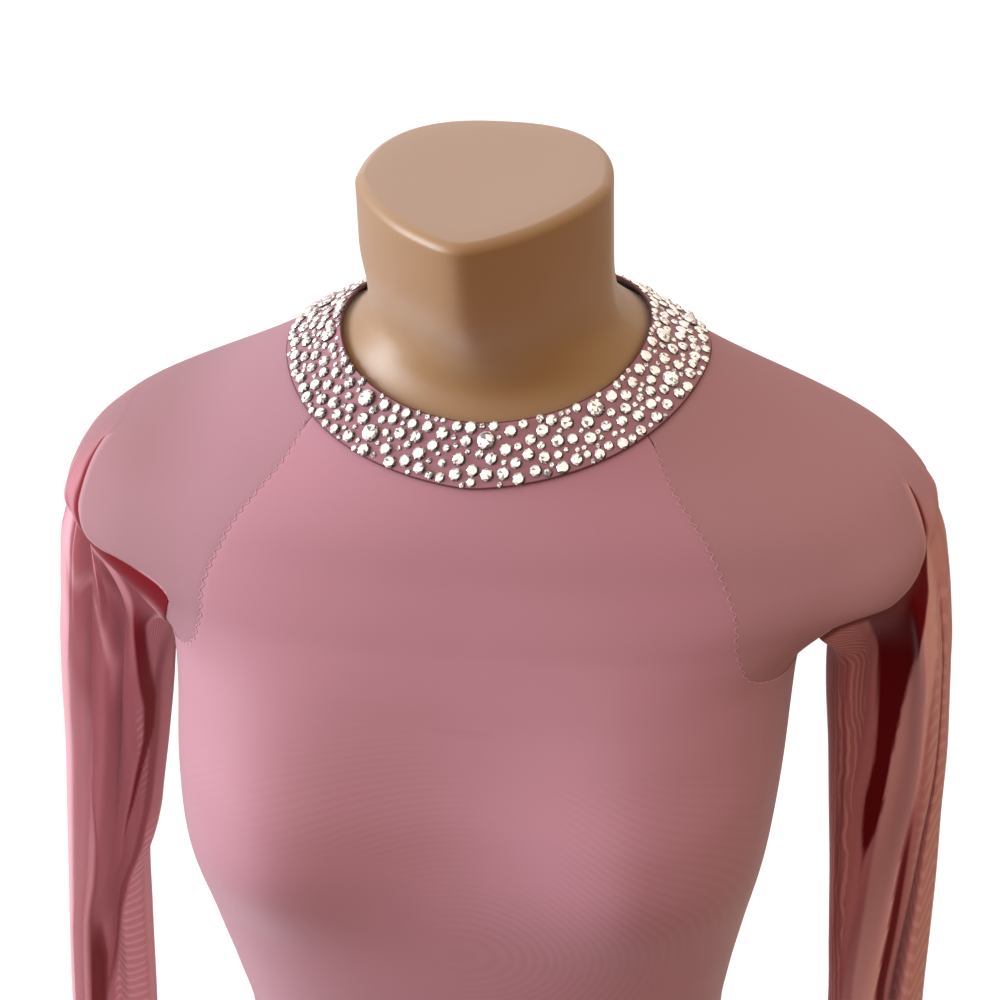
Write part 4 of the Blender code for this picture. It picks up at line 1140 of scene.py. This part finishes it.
def sleeve_grid(side):
    """Points of a sleeve from the band to the cuff, and its shades, painted shade and light among them."""
    folds = FAR_FOLDS if side > 0 else NEAR_FOLDS
    s = np.linspace(0, 2 * HALF_LOOP, SLEEVE_COLUMNS, endpoint=False)
    half, behind = folded_place(s)
    top_turn, top_height = top_loop(s)
    leave_turn, leave_height, leave_lift = leave_loop(s, side)
    shade_reach = np.interp(s, EDGE_SHADE[:, 0], EDGE_SHADE[:, 2 if side > 0 else 1])
    rows, dark, watered = [], [], []
    for share in 1 - np.cos(np.linspace(0, math.pi / 2, 34)):
        turn = top_turn + (leave_turn - top_turn) * share
        height = top_height + (leave_height - top_height) * share
        away = np.linalg.norm(on_section(turn, height) - on_section(top_turn, top_height), axis=-1)
        rows.append(on_figure(turn, height, seam_dip(away) + leave_lift * ease(share, 0.45, 1.0)))
        # A painted highlight along the shoulder's edge
        dark.append(-EDGE_HIGHLIGHT * (share > 0.9999) * (shade_reach > LEAST_SHADE))
        watered.append(np.zeros(len(s)))
    taut_rows = len(rows)
    leave = rows[-1]
    bottom, below = (hanging_section(np.full(len(s), HANGS_FREE - drop), s, folds, side)[0] for drop in (0, 0.002))
    down = (below - bottom) / 0.002 * (leave[:, 2:3] - HANGS_FREE) * 0.9
    # The outer cloth flows on over the shoulder, and the rest falls straight from its edge
    smooth = (1 - ease(half, 1.5, 5.0))[:, None]
    flow = rows[-1] - rows[-3]
    flow = flow / np.linalg.norm(flow, axis=1, keepdims=True) * 0.07
    ahead = (bottom - leave) * 0.9 * (1 - smooth) + flow * smooth
    # Under the near shoulder's edge it first runs back and down
    tuck = ease(half, 8.2, 10.5) * (1 - ease(half, 13.0, 15.0)) * 0.85
    tuck = np.where(behind | (side > 0), 0.0, tuck)[:, None]
    ahead = ahead * (1 - tuck) + np.array([-0.030, 0.045, -0.100]) * tuck
    clear = []
    for t in np.concatenate([(0.004, 0.012, 0.022), np.linspace(0, 1, 27)[1:]]):
        row = hermite(t, leave, bottom, ahead, down)
        rows.append(row)
        clear.append(0.0002 + (OVER_BODICE - 0.0002) * float(ease(t, 0.0, 0.30)))
        _, pattern, lines = hanging_section(row[:, 2], s, folds, side)
        watered.append(lines)
        # Painted shadow under the shoulder's edge
        dropped = leave[:, 2] - row[:, 2]
        under = 1 - ease(dropped, shade_reach * 0.6, shade_reach * 1.4 + 0.0001)
        under = under * (shade_reach > LEAST_SHADE)
        dark.append(pattern + (1 - pattern) * under if t > 0.01 else dark[-1])
    for height in np.concatenate([np.arange(HANGS_FREE - 0.004, CUFF + 0.002, -0.0046), [CUFF]]):
        for kept, values in zip((rows, dark, watered), hanging_section(np.full(len(s), height), s, folds, side)):
            kept.append(values)
    rows, dark, watered = np.array(rows), np.array(dark), np.array(watered)
    clear = np.concatenate([clear, np.full(len(rows) - taut_rows - len(clear), OVER_BODICE)])
    rows[taut_rows:] = clear_of_figure(rows[taut_rows:], clear[:, None])
    rows[taut_rows:, :, 0] += smooth_column(BOW, 2 if side > 0 else 1, rows[taut_rows:, :, 2]) * smooth[:, 0]
    taut = (1 - ease(leave[:, 2] - rows[..., 2], 0.006, 0.040)) * smooth[:, 0]
    taut[:taut_rows] = 1.0
    rows[..., 0] *= side
    return rows, {"folded": dark, "taut": taut, "watered": watered}


def add_sleeve(node, side):
    rows, shades = sleeve_grid(side)
    place_cloth(add_cloth(node, rows, True, MESH_WALL, SLEEVE_MESH, shades), node)


# Neckband and its stones


def band_point(turn, across, out):
    """A point of the band: across runs from the neckline, 0, to the lower edge, 1."""
    upper = edge_height(turn, NECK_EDGE)
    lower = edge_height(turn, BAND_EDGE)
    return on_figure(turn, upper + (lower - upper) * across, out)


def band_normal(turn, across):
    out = band_point(turn, across, 0.001) - band_point(turn, across, 0.0)
    return out / np.linalg.norm(out, axis=-1, keepdims=True)


def add_neckband():
    turns = np.linspace(-math.pi + BAND_OPENS, math.pi - BAND_OPENS, 320)
    shares = (1 - np.cos(np.linspace(0, math.pi, 15))) / 2
    rows = np.array([band_point(turns, share, BAND_INNER) for share in shares])
    band = add_cloth("neckband", rows, False, BAND_OUTER - BAND_INNER, BAND_CLOTH)
    paths = [band_point(turns, share, BAND_OUTER - 0.0006) for share in (-0.004, 1.006)]
    piping = add_piece("band_piping", tube_mesh("band_piping", paths, PIPING_RADIUS, 8), PIPING)
    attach(piping, "root")
    stones = add_stones()
    place_cloth(band, "neckband", with_pieces=[piping, stones])


def stone_places():
    """Kind, turn, share across, radius, reach and spot of each stone, thrown where there is room."""
    draw = np.random.RandomState(STONE_SEED)
    placed, spots, radii = [], [], []

    def put(kind, turn, across, radius, reach, spot):
        placed.append((kind, turn, across, radius, reach, spot))
        spots.append(spot)
        radii.append(radius)

    def room(spot, radius):
        return (np.linalg.norm(np.array(spots) - spot, axis=1) - np.array(radii)).min() - radius

    def throw(radius, edge, tries=None):
        """Random turns, and random shares across that keep off the band's edges."""
        turn = (2 * draw.random_sample(tries) - 1) * (math.pi - TAB)
        margin = radius * edge / BAND_WIDTH
        return turn, margin + (1 - 2 * margin) * draw.random_sample(tries)

    for turn, across in LARGE_STONES:
        turn = math.radians(turn)
        put("large", turn, across, LARGE_RADIUS, LARGE_REACH, band_point(turn, across, BAND_OUTER))
    while len(placed) < len(LARGE_STONES) + BIG_COUNT:
        turn, across = throw(BIG_RADIUS, 1)
        spot = band_point(turn, across, BAND_OUTER)
        if room(spot, BIG_RADIUS) > BIG_SPACE:
            put("big", turn, across, BIG_RADIUS, BIG_REACH, spot)
    for kind, radius, reach, tries, edge in STONE_SIZES:
        turns, shares = throw(radius, edge, tries)
        sizes = radius * (0.9 + 0.2 * draw.random_sample(tries))
        for turn, across, size, spot in zip(turns, shares, sizes, band_point(turns, shares, BAND_OUTER)):
            if room(spot, size) > STONE_SPACE:
                put(kind, turn, across, size, reach, spot)
    kinds, *values = zip(*placed)
    return kinds, *map(np.array, values)


def in_fixed_order(points, faces):
    """The same facets in the same order on each run, so that each keeps its glint: Blender's own order varies."""
    order = np.argsort(points @ (0.137, 0.251, 1.0))
    faces = np.argsort(order)[faces]
    start = faces.argmin(axis=1)[:, None]
    faces = np.take_along_axis(faces, (start + np.arange(3)) % 3, axis=1)
    return points[order], faces[np.lexsort(faces.T[::-1])]


def stone_model(sides, crown):
    """A round stone of radius 1 and height 1: girdle, crown facets and a small-faceted table."""
    stone = add_cylinder(sides, 1.0, 1.0, (0, 0, 0.5))
    edit_chosen(stone, "FACE", on_top)
    bpy.ops.transform.translate(value=(0, 0, -0.55))
    extrude_up(crown, math.pi / sides)
    bpy.ops.mesh.poke(offset=0.02)
    bpy.ops.mesh.select_all(action="SELECT")
    bpy.ops.mesh.quads_convert_to_tris()
    bpy.ops.object.mode_set(mode="OBJECT")
    points = np.array([tuple(vertex.co) for vertex in stone.data.vertices])
    faces = np.array([tuple(face.vertices) for face in stone.data.polygons if face.normal.z > -0.9])
    bpy.data.objects.remove(stone, do_unlink=True)
    return in_fixed_order(points, faces)


def add_stones():
    kinds, turns, shares, radii, reaches, spots = stone_places()
    models = {
        "large": stone_model(12, ((0.84, 0.28), (0.70, 0.20))),
        "big": stone_model(10, ((0.72, 0.45),)),
        "middle": stone_model(8, ((0.68, 0.45),)),
        "small": stone_model(8, ((0.64, 0.42),)),
        "tiny": stone_model(6, ((0.60, 0.42),)),
    }
    draw = np.random.RandomState(STONE_SEED + 1)
    points, faces, glints = [], [], []
    count = 0
    for kind, radius, reach, spot, normal in zip(kinds, radii, reaches, spots, band_normal(turns, shares)):
        model, model_faces = models[kind]
        spin = draw.random_sample() * 2 * math.pi
        lean = (draw.random_sample(2) - 0.5) * 0.16
        cos, sin = math.cos(spin), math.sin(spin)
        turned = model * (radius, radius, reach) @ np.array([(cos, sin, 0), (-sin, cos, 0), (0, 0, 1)])
        turned[:, 2] += turned[:, :2] @ lean * (turned[:, 2] > 0.1 * reach)
        tilt = np.array(Vector(normal).to_track_quat("Z", "Y").to_matrix())
        points.append(turned @ tilt.T + spot - normal * STONE_SUNK)
        faces.append(model_faces + count)
        count += len(model)
        is_dark = kind in DARK_STONES and draw.random_sample() < DARK_STONES[kind]
        corners = points[-1][model_faces]
        facing = np.cross(corners[:, 1] - corners[:, 0], corners[:, 2] - corners[:, 0])
        facing /= np.linalg.norm(facing, axis=1, keepdims=True)
        # Painted light and shade: facets that turn away from the window are dark, and so is the foot all round
        glint = 0.96 + 1.50 * (facing @ WINDOW - normal @ WINDOW)
        glint *= 0.12 + 0.88 * ease(facing @ normal, 0.05, 0.45)
        glint += 0.30 * (draw.random_sample(len(facing)) - 0.5)
        # Random facets get a painted dark reflection
        dark_reflection = draw.random_sample(len(facing)) < DARK_FACETS["dark" if is_dark else kind]
        glints.append(np.clip(np.where(dark_reflection, glint * 0.3, glint), 0, 1))
    mesh = bpy.data.meshes.new("band_stones")
    mesh.from_pydata(np.concatenate(points).tolist(), [], np.concatenate(faces).tolist())
    layer = mesh.attributes.new("glint", "FLOAT", "FACE")
    layer.data.foreach_set("value", np.concatenate(glints).astype(np.float32))
    stones = add_piece("band_stones", mesh, STONES)
    mesh.shade_flat()
    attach(stones, "root")
    return stones


# Buttons behind


def add_buttons():
    for name, across in (("neck_button_upper", 0.27), ("neck_button_lower", 0.73)):
        button = add_cylinder(40, BUTTON_RADIUS, BUTTON_EDGE, (0, 0, BUTTON_EDGE / 2))
        button.name = name + "_pearl"
        edit_chosen(button, "FACE", on_top)
        extrude_up(((0.93, 0.00045), (0.84, 0.00035), (0.68, 0.00025), (0.40, 0.00012)))
        bpy.ops.mesh.poke()
        bpy.ops.object.mode_set(mode="OBJECT")
        tilt = Vector(band_normal(BUTTON_TURN, across)).to_track_quat("Z", "Y").to_matrix().to_4x4()
        tilt.translation = Vector(band_point(BUTTON_TURN, across, BAND_OUTER + 0.0001))
        button.data.transform(tilt)
        button.data.materials.append(PEARL)
        choose(button)
        smooth_below(50)
        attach(button, "root")
        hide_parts(name)


# Skirt and briefs


def skirt_grid(behind):
    """Points of one of the skirt's two cuts, and the painted shade in its flutes' hollows."""
    turns = (math.pi / 2 - 0.0012) * np.linspace(-1, 1, 200) + (math.pi if behind else 0)
    flare = FLARE_SIDE + ((FLARE_BACK if behind else FLARE_FRONT) - FLARE_SIDE) * np.cos(turns) ** 2
    start = on_figure(turns, SEAM, SKIRT_OUT)
    waist = np.linalg.norm(start[:, :2], axis=1)
    over = np.linalg.norm(on_section(turns, np.full(len(turns), HIP))[:, :2], axis=1) - waist
    around = start[:, :2] / waist[:, None]
    wave = np.cos(FLUTES * turns)
    uneven = 1 + 0.22 * np.sin(3.1 * turns + 0.7) + 0.12 * np.sin(5.3 * turns + 2.0)
    rows, folded = [], []
    for drop in np.linspace(0, 1, 60):
        height = SEAM + (HEM - SEAM) * drop
        settle = 1 - (1 - min(1.0, drop / 0.32)) ** 2
        beside_sleeve = 1 - 0.75 * np.abs(np.sin(turns)) ** 10 * ease(height, CUFF - 0.03, CUFF)
        flute = FLUTE_DEPTH * drop**1.2 * wave * beside_sleeve * uneven
        ripple = RIPPLE_DEPTH * drop**2 * np.cos(2 * FLUTES * turns + 0.9) * beside_sleeve
        reach = waist + (over + 0.006) * settle + flare * drop**1.15 + flute + ripple
        rows.append(np.column_stack([around * reach[:, None], np.full(len(turns), height)]))
        # Painted shade in the hollows of the flutes
        folded.append(np.clip(-wave, 0, 1) * drop * 0.35)
    return np.array(rows), np.array(folded)


def add_skirt():
    for node, behind in (("skirt_front", False), ("skirt_back", True)):
        rows, folded = skirt_grid(behind)
        shades = {"folded": folded, "taut": np.full(folded.shape, 0.5), "watered": np.full(folded.shape, 0.3)}
        piece = add_cloth(node, rows, False, MESH_WALL, SKIRT_MESH, shades)
        place_cloth(piece, node)


def leg_turn(height, fullness):
    """Where the edge of the leg's opening lies, from the side seam to the gusset."""
    part = np.clip((height - GUSSET_SEAM) / (LEG_SIDE - GUSSET_SEAM), 0, 1)
    return GUSSET_TURN + (math.pi / 2 - GUSSET_TURN) * part**fullness


def add_briefs():
    heights = np.concatenate([
        np.linspace(SEAM - SEWN_OVER, LEG_SIDE, 24), np.linspace(LEG_SIDE, GUSSET_SEAM, 40)[1:]
    ])
    spread = np.sin(np.linspace(-1, 1, 72) * math.pi / 2)
    for node, behind in (("brief_front", False), ("brief_back", True)):
        edge = beside(leg_turn(heights, 0.75 if behind else 1.25), heights, -SEAM_HALF)
        turn = edge[:, None] * spread
        rows = on_figure(math.pi - turn if behind else turn, heights[:, None])
        place_cloth(add_cloth(node, rows, False, STRETCH_WALL, BRIEFS), node)
    piece = add_cloth("gusset", gusset_rows(), False, STRETCH_WALL, BRIEFS, outward=False)
    place_cloth(piece, "gusset")


def gusset_rows():
    """The gusset's rows, from the front cut down over the vault between the thighs and up to the back cut."""
    across = np.linspace(-1, 1, 25)
    vault = THIGH_GAP - 0.0016
    angle = GUSSET_HALF_ANGLE * across
    arch_x, arch_z = vault * np.sin(angle), GAP_MIDDLE + vault * np.cos(angle)
    front = on_figure(GUSSET_TURN * across, GUSSET_SEAM - SEWN_OVER)
    back = on_figure(math.pi - GUSSET_TURN * across, GUSSET_SEAM - SEWN_OVER)
    ends = []
    for edge, y, way in ((front, front[:, 1].min(), 1), (back, back[:, 1].max(), -1)):
        turned = [edge]
        for part, inward, drop in ((0.25, -0.0010, 0.012), (0.7, -0.0006, 0.024), (0.97, 0.0040, 0.0295)):
            width = front[:, 0] * (1 - part) + arch_x * part
            level = (GUSSET_SEAM - drop) + (arch_z - arch_z.max()) * part
            turned.append(np.column_stack([width, np.full(25, y + way * inward), level]))
        for inward, drop in ((0.013, 0.0006), (0.040, 0.0)):
            turned.append(np.column_stack([arch_x, np.full(25, y + way * inward), arch_z - drop]))
        ends.append(turned)
    rows = np.array(ends[0] + ends[1][::-1])
    return through(rows, np.linspace(0, len(rows) - 1, 100))


# Sewing


def add_seam_stitches():
    """One zigzag of thread along each raglan seam, across both of its sides."""
    at = np.linspace(0.25, len(RAGLAN) - 1.6, 600)
    turn, height, _, _ = raglan_path(at, 0)
    lengths = np.linalg.norm(np.diff(on_figure(turn, height), axis=0), axis=1)
    run = np.concatenate([[0], np.cumsum(lengths)])
    places = np.interp(np.arange(0, run[-1], STITCH_STEP), run, at)
    turn, height, _, _ = raglan_path(places, 0)
    turn = beside(turn, height, STITCH_SIDE * (-1.0) ** np.arange(len(places)))
    turn, height = (through(values, np.arange(0, len(places) - 1, 0.25)) for values in (turn, height))
    paths, ups = [], []
    for side in (-1, 1):
        for angle in (turn * side, (math.pi - turn) * side):
            paths.append(on_figure(angle, height, STRETCH_WALL + 0.00006))
            out = on_figure(angle, height, 0.01) - on_figure(angle, height)
            ups.append(out / np.linalg.norm(out, axis=1, keepdims=True))
    stitches = add_piece("raglan_stitches", tube_mesh("raglan_stitches", paths, THREAD_RADIUS, 5, ups), THREAD)
    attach(stitches, "root")
    return stitches


# Floor, light and camera


def add_stage():
    bpy.ops.object.select_all(action="DESELECT")
    bpy.ops.mesh.primitive_plane_add(size=14.0, location=(0, 0, -0.0002))
    floor = bpy.context.object
    floor.name = "floor"
    white = Finish("white_floor", {
        "Base Color": (0.30, 0.30, 0.30), "Roughness": 0.8,
        "Emission Color": (1.0, 1.0, 1.0), "Emission Strength": 0.86,
    })
    floor.data.materials.append(white.material)
    # The floor is seen, but the dress is lit by the studio alone
    floor.visible_diffuse = False
    floor.visible_glossy = False


def add_light(name, place, aim, size, power, colour):
    bpy.ops.object.select_all(action="DESELECT")
    bpy.ops.object.light_add(type="AREA", location=place)
    light = bpy.context.object
    light.name = name
    light.data.size = size
    light.data.energy = power
    light.data.color = colour
    light.rotation_mode = "QUATERNION"
    light.rotation_quaternion = (Vector(aim) - Vector(place)).to_track_quat("-Z", "Y")


def add_studio():
    add_light("window", (-2.15, -0.40, 1.02), (0, 0, 0.66), 1.4, 45.0, (0.89, 0.98, 1.06))
    world = bpy.data.worlds.new("studio")
    bpy.context.scene.world = world
    world.use_nodes = True
    air = Nodes(world.node_tree)
    way = air.node("ShaderNodeTexCoord", output="Generated")
    up = air.axis(way, "Z")
    aside = air.soft_step(air.axis(way, "X"), -0.30, 0.60)
    level = air.mix(aside, (0.97, 0.88, 0.94), (0.66, 0.50, 0.35))
    low = air.mix(aside, (0.43, 0.28, 0.235), (0.20, 0.09, 0.04))
    ring = air.mix(air.soft_step(up, -0.45, 0.45), low, level)
    top = air.mix(aside, (1.00, 0.86, 0.82), (1.02, 0.84, 0.70))
    sky = world.node_tree.nodes["Background"]
    air.feed(sky.inputs["Color"], air.mix(air.soft_step(up, 0.35, 0.90), ring, top))
    sky.inputs["Strength"].default_value = 1.0
    bpy.context.scene.view_settings.view_transform = "Standard"


def add_camera():
    camera = bpy.data.cameras.new("camera")
    camera.lens = LENS
    camera.sensor_width = 36.0
    holder = bpy.data.objects.new("camera", camera)
    bpy.context.scene.collection.objects.link(holder)
    level = math.cos(VIEW_TILT)
    back = Vector((math.sin(VIEW_TURN) * level, -math.cos(VIEW_TURN) * level, math.sin(VIEW_TILT)))
    right = Vector((math.cos(VIEW_TURN), math.sin(VIEW_TURN), 0))
    up = back.cross(right)
    pose = Matrix((right, up, back)).transposed().to_4x4()
    pose.translation = VIEW_TARGET + back * VIEW_DISTANCE
    holder.matrix_world = pose @ Matrix.Rotation(VIEW_ROLL, 4, "Z")
    bpy.context.scene.camera = holder


add_camera()
add_form()
front = add_panel("bodice_front", False, 1, 150)
place_cloth(front, "bodice_front", with_pieces=[add_seam_stitches()])
for node, side in (("bodice_back_left", 1), ("bodice_back_right", -1)):
    place_cloth(add_panel(node, True, side, 80), node)
add_sleeve("sleeve_right", -1)
add_sleeve("sleeve_left", 1)
add_neckband()
add_buttons()
add_skirt()
add_briefs()
add_stage()
add_studio()
